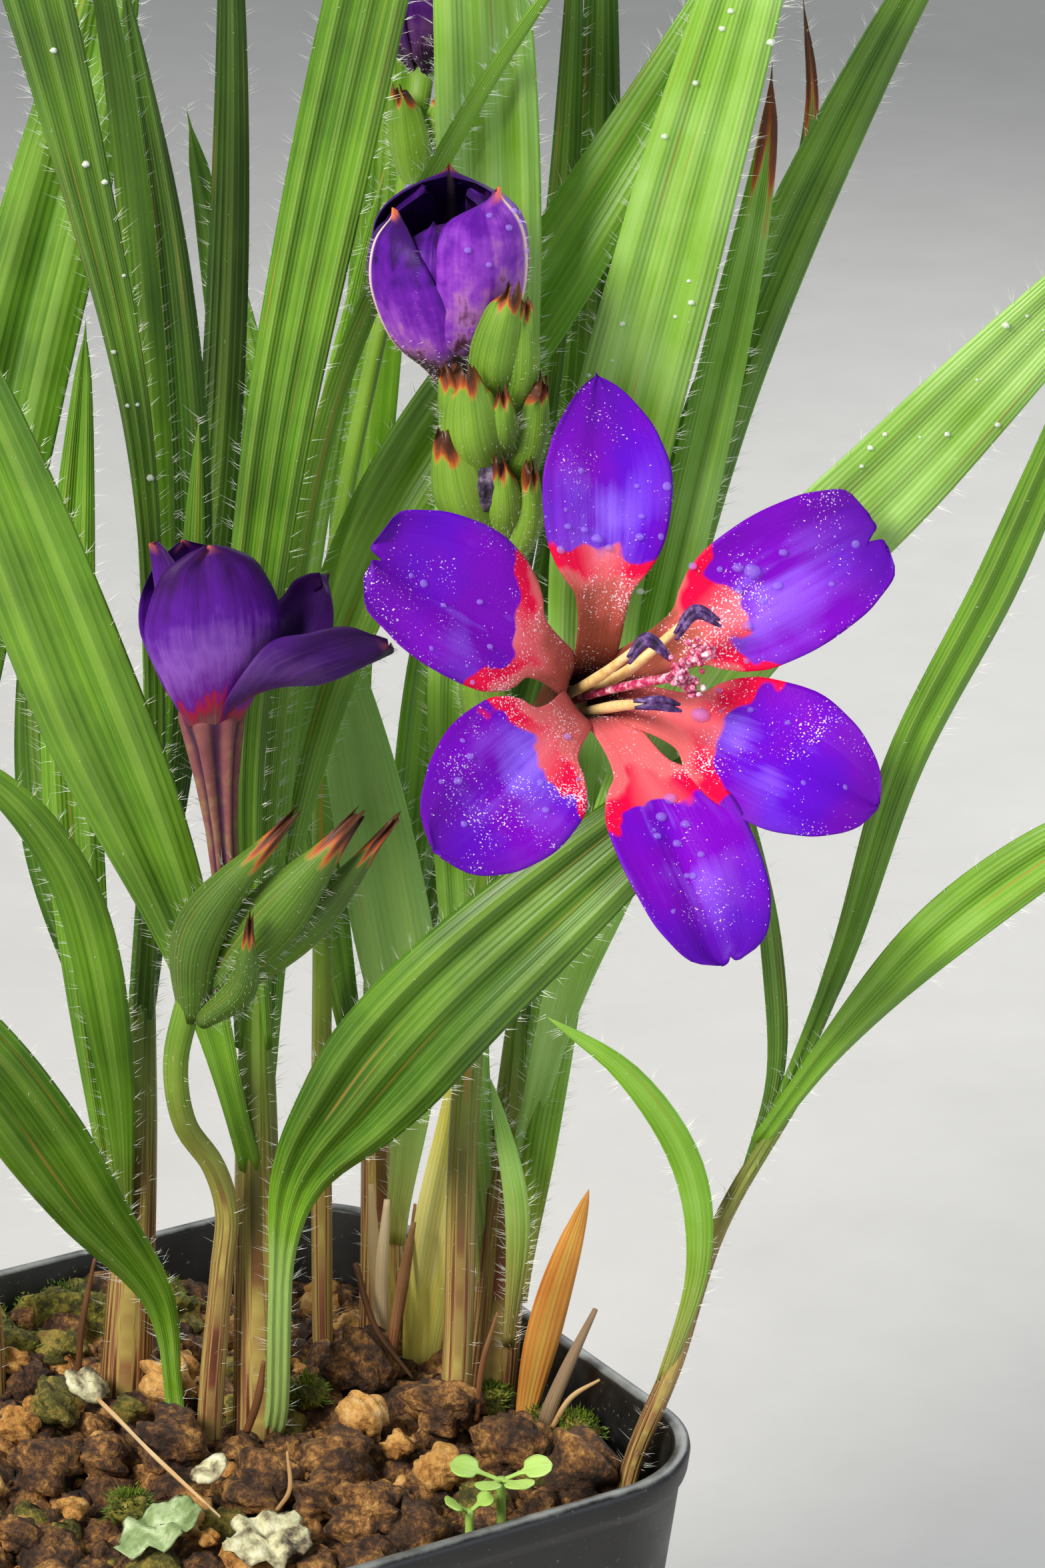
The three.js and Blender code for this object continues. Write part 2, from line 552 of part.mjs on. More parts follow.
// Main spike: a rachis with two ranks of bracts behind the open bloom, and a pair at its tube
piece('spike_main', joined([
  foot('main_spike'),
  stem([[22.6, 8.4, 76], [23.6, 8.6, 104], [25.4, 5, 128], [26.6, 2, 146], [26.6, 0.6, 160],
    [27.4, -1, 172], [28, -2, 179]], [1.4, 1.4, 1.3, 1.3, 1.3, 1.2, 1], 6, 7),
  ...[
    { path: [[27.4, -1.4, 175.6], [26.5, -4.6, 180], [26.9, -5.8, 186]], half: 2 },
    { path: [[28, -1.8, 175.5], [29.4, -4, 180], [29.8, -4.6, 187]], half: 1.9, turn: 20 },
    { path: [[27, -1, 170.5], [24, -4.8, 175.4], [23, -5.4, 181]], half: 2, turn: -20 },
    { path: [[27, -1, 169.5], [25.6, -5.2, 174], [25.8, -5.8, 179]], half: 2 },
    { path: [[27.4, -1.2, 170], [28, -4.6, 174.4], [28.1, -5, 178.4]], half: 1.5, turn: 10 },
    { path: [[26.8, -0.2, 163], [23.8, -4, 168.4], [22.8, -4.6, 174]], half: 2.6, turn: -20 },
    { path: [[27, -0.4, 163], [27.8, -4.2, 167.4], [27.9, -4.8, 171.6]], half: 1.7 },
    { path: [[27.4, -0.6, 167.6], [30.2, -2.8, 173], [31.4, -3.2, 179.6]], half: 1.9, turn: 30 },
    { path: [[27, 0.2, 161], [29.6, -3.2, 166], [30, -3.6, 171.6]], half: 1.8, turn: 20 },
    { path: [[26.6, 1.8, 141], [25, 0, 146], [24.4, -0.8, 152]], half: 2.3, turn: -30 },
    { path: [[26.4, 2.2, 136], [29.8, 2, 139.4], [32.4, -0.4, 143]], half: 1.9, turn: 10 },
  ].map(bract),
]), LEAF);

// Left spike: a stem with a bend in it from the front corm, with four bracts round its bloom's tube
piece('spike_left', joined([
  foot('left_spike'),
  stem([[0, 5, 76], [1.4, 4.4, 91], [2, 4, 97], [1, 2, 102.5], [-1.3, -1, 108], [-1.8, -3.4, 115],
    [0, -5.2, 123], [1.2, -5.6, 129]], [1.2, 1.2, 1.1, 1.1, 1.1, 1.1, 1.2, 1.3], 6, 9),
  ...[
    { path: [[0.4, -5.8, 124], [2.2, -9, 132], [8.6, -9.8, 139.5]], half: 2.1, turn: -10 },
    { path: [[1, -5.8, 125], [8, -8.4, 131], [14.4, -8.8, 139]], half: 2.3 },
    { path: [[1, -5.4, 124.4], [9.2, -5.8, 128.8], [17.4, -7, 138]], half: 2.2, turn: 10 },
    { path: [[0.6, -6, 123.4], [4, -8.8, 126.6], [5.6, -10.4, 131.6]], half: 1.5 },
  ].map(bract),
]), LEAF);

// Back spike: a thin stem between the back leaves that ends in a bud
piece('spike_back', joined([
  foot('back_spike'),
  stem([[9.6, 26.6, 76], [10, 27, 110], [11.4, 23.4, 150], [18, 22, 184], [20.2, 22, 198]],
    [1, 0.9, 0.8, 0.8, 1.2]),
  bract({ path: [[19.4, 21.6, 187], [18.6, 19.6, 192], [18.2, 19, 197]], half: 1.8, turn: -20 }),
  bract({ path: [[19.4, 22, 187], [21.6, 21, 192], [22.6, 20.6, 197]], half: 1.6, turn: 30 }),
]), LEAF);

// Blooms: each has its own frame, with Z along its axis
function bloomGroup(at, turn, lift) {
  const group = new THREE.Group();
  group.rotation.set(radians(90 - lift), 0, radians(turn), 'ZXY');
  group.position.set(...at);
  plants.add(group);
  return group;
}

const openTepalOutline = (half) => outlineThrough([
  [0, 1.7], [0.3, 1.9], [0.4, 0.52 * half], [0.5, 0.8 * half],
  [0.62, half], [0.76, 0.97 * half], [0.88, 0.74 * half], [1, 0.3 * half],
]);

const OPEN_TEPALS = [
  { bearing: 86, length: 27.4, half: 5.9 },
  { bearing: 24, length: 28.4, half: 6.8 },
  { bearing: -36, length: 26.6, half: 6.6 },
  { bearing: -84, length: 27.2, half: 6.3 },
  { bearing: -150, length: 26, half: 6.8 },
  { bearing: 150, length: 26.6, half: 6.8 },
];

const ring = (radius, z, sides) => Array.from({ length: sides }, (_, j) => {
  const angle = (j / sides) * Math.PI * 2;
  return new THREE.Vector3(radius * Math.cos(angle), radius * Math.sin(angle), z);
});
const turnedShape = (profile, sides = 10) => loft(profile.map(([radius, z]) => ring(radius, z, sides)));

function openPerianth() {
  const shapes = [turnedShape([[1, -TUBE_LENGTH], [1.3, -11], [2.6, -6.5], [3.1, -2], [3.5, 0.6]])];
  OPEN_TEPALS.forEach(({ bearing, length, half }, index) => {
    const lower = (index % 2) * 0.35;
    const profile = [
      [2, -1.5 - lower], [3.2, 1.2 - lower], [0.3 * length, 4.6 - lower],
      [0.6 * length, 7.6], [0.8 * length, 8.9], [0.94 * length, 9.4],
    ];
    shapes.push(tepal({ profile, outline: openTepalOutline(half), bearing, cup: 0.16 }));
  });
  return joined(shapes).subtract(turnedShape([[1.9, THROAT_FLOOR], [2.2, -2], [2.9, 5]]));
}

// Stamens stand on a disc on the throat's floor and the style on that disc, leaning to the upper side
const STAMENS = [
  { foot: [0.85, 0.71], bend: [1.7, 1.4, 3.4], anther: [[4, 4.6, 8.6], [5.8, 5.8, 9.4], [7.6, 4.8, 9.2]] },
  { foot: [-1.03, 0.38], bend: [-0.8, 1.4, 3.4], anther: [[-1, 2, 9.4], [0.4, 3.2, 10], [2, 2.2, 9.8]] },
  { foot: [0.19, -1.08], bend: [0.6, -1.6, 3.4],
    anther: [[-0.6, -1.8, 9.4], [1, -2.1, 10], [2.8, -2.5, 9.6]] },
];
const DISC_TOP = THROAT_FLOOR + CLEARANCE + 0.7;

function stamens() {
  const seat = turnedShape([[1.45, THROAT_FLOOR + CLEARANCE], [1.45, DISC_TOP]], 8);
  return joined([seat, ...STAMENS.flatMap(({ foot: [x, y], bend, anther }) => [
    stem([[x, y, DISC_TOP - 0.3], bend, anther[1]], [0.38, 0.4, 0.4], 5, 5),
    stem(anther, [0.5, 0.85, 0.5], 6, 5),
  ])]);
}

function style() {
  const fork = [4, 0, 8.4];
  const branches = [[3.8, -0.2, 11], [6.4, 1.6, 10.4], [5.8, -1.1, 10]];
  return joined([
    stem([[0, 0, DISC_TOP + CLEARANCE], [0.5, 0, 0], [2.2, 0, 5.2], fork], [0.34, 0.36, 0.4, 0.45], 5, 6),
    ...branches.map((tip) => stem([[3.9, 0, 8.2], tip], [0.45, 0.4], 5, 2)),
    ...branches.map((tip) => lump(tip, 1, 1, 0.3)),
  ]);
}

const openBloom = bloomGroup(BLOOM_THROAT, BLOOM_TURN, BLOOM_LIFT);
piece('bloom_open_tepals', openPerianth(), VIOLET, openBloom);
piece('bloom_open_stamens', stamens(), CREAM, openBloom);
piece('bloom_open_style', style(), STIGMA_RED, openBloom);

// Buds: a core inside tepals that wrap round it, every other one further out
function wrapped({ bearing, spread, radii, heights, lift, across, rows = 5 }) {
  const curve = new THREE.SplineCurve(radii.map((radius, i) => new THREE.Vector2(radius, heights[i])));
  return sheet(Array.from({ length: rows }, (_, i) => {
    const s = i / (rows - 1);
    const { x: out, y: up } = curve.getPoint(s);
    const narrow = s < 0.55 ? 1 : mix(1, 0.2, ((s - 0.55) / 0.45) ** 2);
    return Array.from({ length: across }, (__, j) => {
      const u = 1 - (j / (across - 1)) * 2;
      const angle = radians(bearing + u * spread * narrow);
      const normal = new THREE.Vector3(-Math.cos(angle), -Math.sin(angle), 0);
      const height = up - 1.2 * Math.abs(u) * s;
      return { point: normal.clone().multiplyScalar(-out - lift).setZ(height), normal };
    });
  }), BUD_BLADE);
}

const BUD_RADII = [0.9, 3.6, 5.8, 6, 3.6];
const BUD_HEIGHTS = [0, 2.4, 7, 12, 17.4];

function budShape({ scale, tepals, tube, layer, across }) {
  const radii = BUD_RADII.map((radius) => radius * scale);
  const heights = BUD_HEIGHTS.map((height) => height * scale);
  const shapes = [
    stem(tube, [0.8, 0.9], 7),
    turnedShape([[0.9, -1], [2.7 * scale, 1.8 * scale], [5 * scale, 6 * scale], [5.1 * scale, 10.5 * scale],
      [3.4 * scale, 14 * scale]], 8),
  ];
  for (let number = 0; number < tepals; number += 1) {
    const bearing = -70 + number * (360 / tepals);
    const lift = (number % 2) * layer;
    shapes.push(wrapped({ bearing, spread: 228 / tepals, radii, heights, lift, across }));
  }
  return joined(shapes);
}
const bud = bloomGroup([22.6, 1.8, 178], 0, 86);
piece('bud_half_open', budShape({
  scale: 0.94, tepals: 6, tube: [[3, -0.4, -4.4], [1.2, 0, -3], [0, 0, -0.6]], layer: 1, across: 4,
}), VIOLET, bud);

const backBud = bloomGroup([20.2, 22, 200], 0, 86);
piece('bud_back', budShape({
  scale: 0.8, tepals: 4, tube: [[0, 0, -1.4], [0, 0, -0.6]], layer: 0.5, across: 3,
}), DARK_VIOLET, backBud);

// Side bloom on the left spike: a ribbed tube, a cup of upright tepals and two that lean out of it
const SIDE_TEPALS = [
  { bearing: -44, profile: [[2, -1], [2.9, 1.4], [3.9, 5.6], [4.3, 11], [3.8, 15.6]], half: 5 },
  { bearing: -106, profile: [[2, -1], [2.9, 1.4], [3.9, 5.6], [4.4, 11], [4.4, 15.4]], half: 4.4 },
  { bearing: 168, profile: [[2, -1], [2.9, 1.4], [3.8, 5.6], [4.2, 10], [3.8, 14.4]], half: 5 },
  { bearing: 66, profile: [[2, -1], [3, 1.6], [4.8, 5.6], [7.2, 9.4], [9.8, 13]], half: 4 },
  { bearing: 30, profile: [[2, -1], [3.4, 1.4], [7.8, 4.4], [12.6, 7], [17.8, 8.8]], half: 3.3 },
];

function sideBloomShape() {
  const ribs = 12;
  const ribbed = (radius, z) => ring(radius, z, ribs).map((point, j) => {
    const swell = j % 2 ? 1.12 : 0.94;
    return point.multiply(new THREE.Vector3(swell, swell, 1));
  });
  const tube = loft([ribbed(0.9, -SIDE_TUBE_LENGTH), ribbed(1.3, -11), ribbed(2.1, -4), ribbed(3.2, 1.2)]);
  const outline = (half) => outlineThrough([[0, 0.4 * half], [0.3, 0.75 * half], [0.6, half],
    [0.85, 0.8 * half], [1, 0.24 * half]]);
  return joined([tube, ...SIDE_TEPALS.map(({ bearing, profile, half }) => tepal({
    profile, outline: outline(half), bearing, cup: 0.3, rows: 6, across: 3,
  }))]);
}
const sideBloom = bloomGroup([2.2, -6.2, 149], -51, 86);
piece('bloom_side', sideBloomShape(), DARK_VIOLET, sideBloom);

// Weeds: a young dicot with two round seed leaves and two true leaves, and a smaller one
function weed(footName, height, reach, leaves) {
  const { top } = FEET[footName];
  const [x, y] = top;
  const crown = [x, y, 74 + height];
  return joined([
    foot(footName),
    stem([[x, y, 76], crown], [0.5, 0.5], 6, 2),
    ...leaves.map(([bearing, size]) => {
      const profile = [[0, -0.4], [0.5 * reach, 0.5], [reach, 1]];
      const outline = outlineThrough([[0, 0.35], [0.35, 0.4], [0.6, size], [0.85, size], [1, 0.45 * size]]);
      return tepal({ profile, outline, bearing, cup: 0.1, rows: 3, across: 3 }).translate(crown);
    }),
  ]);
}
piece('weed_large', weed('weed', 5.4, 4.6, [[170, 1.6], [10, 1.6], [250, 1.1], [-60, 1.2]]), WEED);
piece('weed_small', weed('small_weed', 3.6, 2.2, [[200, 1.3], [20, 1.1]]), WEED);

export default object;
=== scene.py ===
"""Potted baboon flower, dressed for rendering: pleated hairy leaves, an open violet and crimson bloom,
a half-open bud, a bloom seen from the side and a bud at the back, in a square nursery pot of grit.

Lengths are in millimetres in the tables and helpers, and in metres in the finished meshes. The plants
have their own frame, in which a viewer looks along +Y: the row frame turned by PLANT_TURN."""

import math
from functools import cache, partial

import bpy
import numpy as np
from bpy.props import FloatProperty, FloatVectorProperty, IntProperty, PointerProperty
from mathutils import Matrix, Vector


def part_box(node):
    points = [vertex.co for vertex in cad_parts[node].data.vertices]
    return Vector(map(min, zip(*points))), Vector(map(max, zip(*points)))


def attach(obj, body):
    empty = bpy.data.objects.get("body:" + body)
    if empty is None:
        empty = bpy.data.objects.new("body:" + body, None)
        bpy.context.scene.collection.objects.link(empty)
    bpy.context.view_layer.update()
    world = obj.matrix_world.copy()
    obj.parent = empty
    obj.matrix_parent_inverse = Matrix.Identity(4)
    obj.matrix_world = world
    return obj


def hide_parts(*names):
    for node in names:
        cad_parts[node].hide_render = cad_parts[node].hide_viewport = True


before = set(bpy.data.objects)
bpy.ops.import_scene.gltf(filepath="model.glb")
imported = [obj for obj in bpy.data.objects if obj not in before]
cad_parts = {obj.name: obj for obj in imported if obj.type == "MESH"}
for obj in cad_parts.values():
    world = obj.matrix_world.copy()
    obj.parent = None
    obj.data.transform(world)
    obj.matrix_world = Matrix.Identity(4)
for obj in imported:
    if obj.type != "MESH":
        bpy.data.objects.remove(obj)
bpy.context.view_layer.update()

bl_info = {
    "name": "Potted baboon flower",
    "version": (1, 0, 0),
    "blender": (4, 5, 0),
    "location": "View3D > Sidebar > Baboon flower",
    "description": "Builds the dressed baboon flower in its pot, piece by piece",
    "category": "Object",
}

MM = 0.001
PLANT_TURN = -31.6
BODY = "root"
SEED = 7

POT_LOW, POT_HIGH = (np.array(corner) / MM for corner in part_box("pot"))
POT_HEIGHT = POT_HIGH[2]
RIM_BEAD = 0.5
POT_SIDE = POT_HIGH[0] - POT_LOW[0] - 2 * RIM_BEAD
POT_BASE_SIDE = 54.0
POT_CORNER = 12.0
POT_WALL = 1.1
SOIL_LEVEL = 73.0

# What a piece's points carry for its material: places across and along a blade, and shares of 0 to 1
ATTRIBUTES = ("across", "along", "tone", "stain", "crest", "scorch")

# Steps between two points of a path, and on a whole curve through stops
CURVE_STEPS = 20
STOP_STEPS = 160
# Nearly +Y, so that no straight stem runs along it
AWAY = [0, 1, 0.001]
# A blade's two margins: column of its face, and the way that it looks along the blade's side
MARGINS = ((0, -1), (-1, 1))
# How far a hair's way drifts as a share of its length, how far its root strays in millimetres, and the
# shares of its length that it may have
HAIR_DRIFT = 0.22
HAIR_STRAY = np.array([0.12, 0.12, 0.24])
HAIR_LENGTHS = (0.5, 1.25)


def linear(colour):
    """An sRGB hex colour as the linear colour that a shader takes"""
    parts = [int(colour[i:i + 2], 16) / 255 for i in (1, 3, 5)]
    return [part / 12.92 if part <= 0.04045 else ((part + 0.055) / 1.055) ** 2.4 for part in parts]


def rgba(colour):
    return (*linear(colour), 1.0)


def add(tree, kind, *inputs, out=0, stops=(), **named):
    """Adds a node, sets or links its inputs, and returns one of its outputs. Inputs come in order, in a
    dictionary by index or under a name with a capital; small names are settings, # starts a colour"""
    node = tree.nodes.new(kind if "Node" in kind else "ShaderNode" + kind)
    for name in [name for name in named if name.islower()]:
        setattr(node, name, named.pop(name))
    given = inputs[0] if inputs and isinstance(inputs[0], dict) else dict(enumerate(inputs))
    given = {**given, **{name.replace("_", " "): value for name, value in named.items()}}
    for socket, value in given.items():
        if isinstance(value, bpy.types.NodeSocket):
            tree.links.new(value, node.inputs[socket])
        else:
            coloured = isinstance(value, str) and value.startswith("#")
            node.inputs[socket].default_value = rgba(value) if coloured else value
    for number, (place, colour) in enumerate(stops):
        ramp = node.color_ramp.elements
        stop = ramp[number] if number < 2 else ramp.new(place)
        stop.position, stop.color = place, rgba(colour)
    return node.outputs[out] if node.outputs else node


# Curves and turns

def turned(points, degrees):
    """Points turned round the upright axis"""
    c, s = math.cos(math.radians(degrees)), math.sin(math.radians(degrees))
    return np.asarray(points) @ np.array([[c, -s, 0], [s, c, 0], [0, 0, 1]]).T


def smooth_path(points, count):
    """Evenly spaced points on a centripetal Catmull-Rom curve through the given ones"""
    points = np.asarray(points, float)
    ends = np.vstack([2 * points[0] - points[1], points, 2 * points[-1] - points[-2]])
    t = np.linspace(0, 1, CURVE_STEPS, endpoint=False)[:, None]
    runs = []
    for a, b, c, d in zip(ends, ends[1:], ends[2:], ends[3:]):
        before, here, after = (np.linalg.norm(q - p) ** 0.5 for p, q in ((a, b), (b, c), (c, d)))
        leave = ((b - a) / before - (c - a) / (before + here)) * here + c - b
        reach = ((d - c) / after - (d - b) / (here + after)) * here + c - b
        cubic, square = 2 * (b - c) + leave + reach, 3 * (c - b) - 2 * leave - reach
        runs.append(b + t * (leave + t * (square + t * cubic)))
    fine = np.vstack([*runs, points[-1:]])
    length = np.r_[0, np.cumsum(np.linalg.norm(np.diff(fine, axis=0), axis=1))]
    wanted = np.linspace(0, length[-1], count)
    return np.stack([np.interp(wanted, length, axis) for axis in fine.T], axis=1)


def path_length(path):
    return sum(math.dist(a, b) for a, b in zip(path, path[1:]))


def unit(vectors):
    return vectors / np.linalg.norm(vectors, axis=-1, keepdims=True)


def both(values):
    """Values across a blade's face, run back across its other side"""
    return np.concatenate([values, values[..., ::-1]], axis=-1)


def curve_through(stops, s):
    """Values at s of a smooth curve through (share, value) stops"""
    line = smooth_path(stops, STOP_STEPS)
    return np.interp(s, line[:, 0], line[:, 1])


def ease(low, high, x):
    """A smooth rise from 0 at one end to 1 at the other, level beyond them"""
    t = np.clip((np.asarray(x, float) - low) / (high - low), 0, 1)
    return t * t * (3 - 2 * t)


def bump(x, width):
    """A smooth hump of height 1 round zero"""
    return np.exp(-(x / width) ** 2)


def around(count):
    """Evenly spaced angles round a ring"""
    return np.linspace(0, 2 * math.pi, count, endpoint=False)


def ring(radius, z, count):
    """A level ring of points, with one radius or one for each point"""
    angle = around(count)
    return np.stack([radius * np.cos(angle), radius * np.sin(angle), 0 * angle + z], axis=1)


def bloom_frame(at, turn, lift):
    """The way from a bloom's own frame, with Z along its axis, to the plants' frame"""
    tip = math.radians(90 - lift)
    c, s = math.cos(tip), math.sin(tip)
    tilt = np.array([[1, 0, 0], [0, c, -s], [0, s, c]])
    return lambda points: turned(np.asarray(points) @ tilt.T, turn) + np.array(at)


def settle(piece, slot, *nodes):
    """Makes a finished piece ride with the object and stand for the nodes that it replaces"""
    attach(piece, BODY)
    if nodes:
        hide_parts(*nodes)
    return piece


def show(mesh, material=None):
    """A new object at the origin for a mesh"""
    piece = bpy.data.objects.new(mesh.name, mesh)
    bpy.context.scene.collection.objects.link(piece)
    if material:
        mesh.materials.append(material)
    return piece


def baked(piece, modifier):
    """Puts the plain mesh that a piece's modifier makes in the place of its own"""
    graph = bpy.context.evaluated_depsgraph_get()
    mesh = bpy.data.meshes.new_from_object(piece.evaluated_get(graph), depsgraph=graph)
    piece.modifiers.remove(modifier)
    piece.data, mesh.name = mesh, piece.name


class Shells:
    """The closed shells of one piece, the values at their points that materials read, and its hairs"""

    def __init__(self, turn=PLANT_TURN, seed=SEED):
        self.turn = turn
        self.random = np.random.default_rng(seed)
        self.points, self.faces, self.slots, self.count = [], [], [], 0
        self.values = {name: [] for name in ATTRIBUTES}
        self.roots, self.ways, self.beads = [], [], []

    def loft(self, rings, slot=0, **values):
        """A closed shell through equal rings of points, with an even number of points in each.
        Values that are given for half of a ring run back across its other half"""
        rings = np.asarray(rings, float)
        rows, sides = rings.shape[:2]
        index = np.arange(rows * sides).reshape(rows, sides) + self.count
        after = np.roll(index, -1, axis=1)
        walls = np.stack([index[:-1], after[:-1], after[1:], index[1:]], -1).reshape(-1, 4)
        j = np.arange(sides // 2 - 1)
        caps = [np.stack([end[j], end[sides - 1 - j], end[sides - 2 - j], end[j + 1]], -1)
                for end in (index[0], index[-1])]
        faces = np.vstack([walls, caps[0], caps[1][:, ::-1]])
        flat = rings.reshape(-1, 3)
        a, b, c, d = (flat[faces[:, k] - self.count] - flat.mean(0) for k in range(4))
        if (np.cross(a, b) * c).sum() + (np.cross(a, c) * d).sum() < 0:
            faces = faces[:, ::-1]
        self.points.append(flat)
        self.faces.append(faces)
        self.slots.append(np.full(len(faces), slot))
        for name in ATTRIBUTES:
            value = np.asarray(values.get(name, 0.0))
            value = both(value) if value.shape[-1:] == (sides // 2,) else value
            self.values[name].append(np.broadcast_to(value, (rows, sides)).reshape(-1))
        self.count += rows * sides

    def tube(self, path, radii, sides=12, stations=None, slot=0, flat=1.0, **values):
        """A round or flattened stem along a path, its radius going evenly through the given values"""
        stations = stations or max(6, 4 * len(path))
        line = smooth_path(path, stations)
        along = unit(np.gradient(line, axis=0))
        right = unit(np.cross(AWAY, along))
        front = np.cross(along, right)
        s = np.linspace(0, 1, stations)
        radius = np.interp(s, np.linspace(0, 1, len(radii)), radii)[:, None, None]
        angle = around(sides)[None, :, None]
        rings = line[:, None] + radius * (right[:, None] * np.cos(angle)
                                          + front[:, None] * np.sin(angle) * flat)
        values.setdefault("along", s[:, None])
        self.loft(rings, slot, across=np.sin(angle[..., 0]), **values)
        return rings

    def hairs(self, roots, ways, count):
        """Keeps a seeded share of the given roots, each with the way and length of its hair"""
        roots, ways = (each.reshape(-1, 3) for each in np.broadcast_arrays(roots, ways))
        pick = self.random.integers(0, len(roots), count)
        length = np.linalg.norm(ways[pick], axis=1)[:, None]
        drift = self.random.normal(0, HAIR_DRIFT, (count, 3)) * length
        self.roots.append(roots[pick] + self.random.normal(0, 1, (count, 3)) * HAIR_STRAY)
        self.ways.append(ways[pick] * self.random.uniform(*HAIR_LENGTHS, (count, 1)) + drift)

    def mesh(self, name):
        """All the shells as one mesh, turned into the row frame and in metres"""
        data = bpy.data.meshes.new(name)
        points = turned(np.vstack(self.points), self.turn) * MM
        data.from_pydata(points.tolist(), [], np.vstack(self.faces).tolist())
        data.polygons.foreach_set("material_index", np.concatenate(self.slots).astype(np.int32))
        data.polygons.foreach_set("use_smooth", np.ones(len(data.polygons), bool))
        for attribute, parts in self.values.items():
            layer = data.attributes.new(attribute, "FLOAT", "POINT")
            layer.data.foreach_set("value", np.concatenate(parts).astype(np.float32))
        data.validate()
        return data

    def finish(self, name, slot, material, *nodes):
        """The piece that these shells make, settled in the object"""
        return settle(show(self.mesh(name), material), slot, *nodes)


# Geometry Nodes

# What a scatter of lumps is told: how dense, how far apart and how large the lumps are, how flat, how
# rough and how deep they sink
LUMP_SIZES = ("Density", "Spacing", "Smallest", "Largest", "Flatness", "Roughness", "Sink")
# Above 1, small lumps outnumber large ones
LUMP_BIAS = 1.6
# How far a lump may turn about X, Y and Z, in radians
LUMP_SPIN = (0.5, 0.5, 6.28)
# Swells of about 2.4 and 0.8 mm on a lump: scale, detail, roughness and share
LUMP_SWELLS = ((420.0, 4.0, 0.62, 1.0), (1300.0, 2.0, 0.5, 0.4))


def new_tree(name, **sockets):
    """A geometry tree with named inputs: the call that adds a node to it, and its inputs"""
    tree = bpy.data.node_groups.new(name, "GeometryNodeTree")
    tree.interface.new_socket("Geometry", in_out="OUTPUT", socket_type="NodeSocketGeometry")
    for label, kind in {"Geometry": "Geometry", **sockets, "Material": "Material"}.items():
        tree.interface.new_socket(label, in_out="INPUT", socket_type=f"NodeSocket{kind}")
    return partial(add, tree), tree.nodes.new("NodeGroupInput").outputs


def close_tree(node, geometry, given):
    """Sets the material, leads the geometry out, and returns the tree"""
    dressed = node("GeometryNodeSetMaterial", Geometry=geometry, Material=given["Material"])
    node("NodeGroupOutput", dressed)
    return dressed.node.id_data


@cache
def hair_tree():
    """A pointed three-sided hair on every vertex, along the way that the vertex carries"""
    node, given = new_tree("Hairs along their ways", Thickness="Float")
    way = node("GeometryNodeInputNamedAttribute", "way", out="Attribute", data_type="FLOAT_VECTOR")
    length = node("VectorMath", way, out="Value", operation="LENGTH")
    hair = node("GeometryNodeMeshCone", Vertices=3, Radius_Top=0.0, Radius_Bottom=1.0, Depth=1.0,
                fill_type="NGON")
    placed = node("GeometryNodeInstanceOnPoints", Points=given["Geometry"], Instance=hair,
                  Rotation=node("FunctionNodeAlignRotationToVector", Vector=way, axis="Z"),
                  Scale=node("CombineXYZ", given["Thickness"], given["Thickness"], length))
    return close_tree(node, node("GeometryNodeRealizeInstances", placed), given)


@cache
def scatter_tree():
    """Lumps on a surface where its 'stain' allows: clods, grit, drops or pollen by their sizes"""
    node, given = new_tree("Lumps over a surface", **dict.fromkeys(LUMP_SIZES, "Float"), Detail="Int",
                           Seed="Int")
    allowed = node("GeometryNodeInputNamedAttribute", "stain", out="Attribute", data_type="FLOAT")
    spots = node("GeometryNodeDistributePointsOnFaces", Mesh=given["Geometry"], Seed=given["Seed"],
                 Distance_Min=given["Spacing"], Density_Max=given["Density"], Density_Factor=allowed,
                 distribute_method="POISSON")
    kind = node("FunctionNodeRandomValue", Seed=given["Seed"], out=1, data_type="FLOAT")
    shuffled = node("Math", node("Math", kind, 7.31, operation="MULTIPLY"), operation="FRACT")
    draw = node("Math", shuffled, LUMP_BIAS, operation="POWER")
    size = node("MapRange", draw, To_Min=given["Smallest"], To_Max=given["Largest"])
    flat = node("Math", size, given["Flatness"], operation="MULTIPLY")
    placed = node("GeometryNodeInstanceOnPoints", Points=spots, Rotation=spots.node.outputs["Rotation"],
                  Instance=node("GeometryNodeMeshIcoSphere", Radius=1.0, Subdivisions=given["Detail"]),
                  Scale=node("CombineXYZ", size, size, flat))
    spin = node("FunctionNodeRandomValue", (0, 0, 0), LUMP_SPIN, Seed=3, data_type="FLOAT_VECTOR")
    spun = node("GeometryNodeRotateInstances", placed, Rotation=spin)
    down = node("Math", size, given["Sink"], operation="MULTIPLY")
    down = node("VectorMath", (0, 0, -1), Scale=down, operation="SCALE")
    sunk = node("GeometryNodeTranslateInstances", spun, Translation=down)
    toned = node("GeometryNodeStoreNamedAttribute", sunk, Name="tone", Value=kind, data_type="FLOAT",
                 domain="INSTANCE")
    place = node("GeometryNodeInputPosition")
    swell = (0, 0, 0)
    for scale, detail, roughness, share in LUMP_SWELLS:
        rough = node("TexNoise", Vector=place, Scale=scale, Detail=detail, Roughness=roughness, out="Color")
        rough = node("VectorMath", rough, (0.5,) * 3, operation="SUBTRACT")
        swell = node("VectorMath", rough, (share,) * 3, swell, operation="MULTIPLY_ADD")
    swell = node("VectorMath", swell, Scale=given["Roughness"], operation="SCALE")
    whole = node("GeometryNodeRealizeInstances", toned)
    shaped = node("GeometryNodeSetPosition", whole, Offset=swell)
    return close_tree(node, node("GeometryNodeSetShadeSmooth", shaped), given)


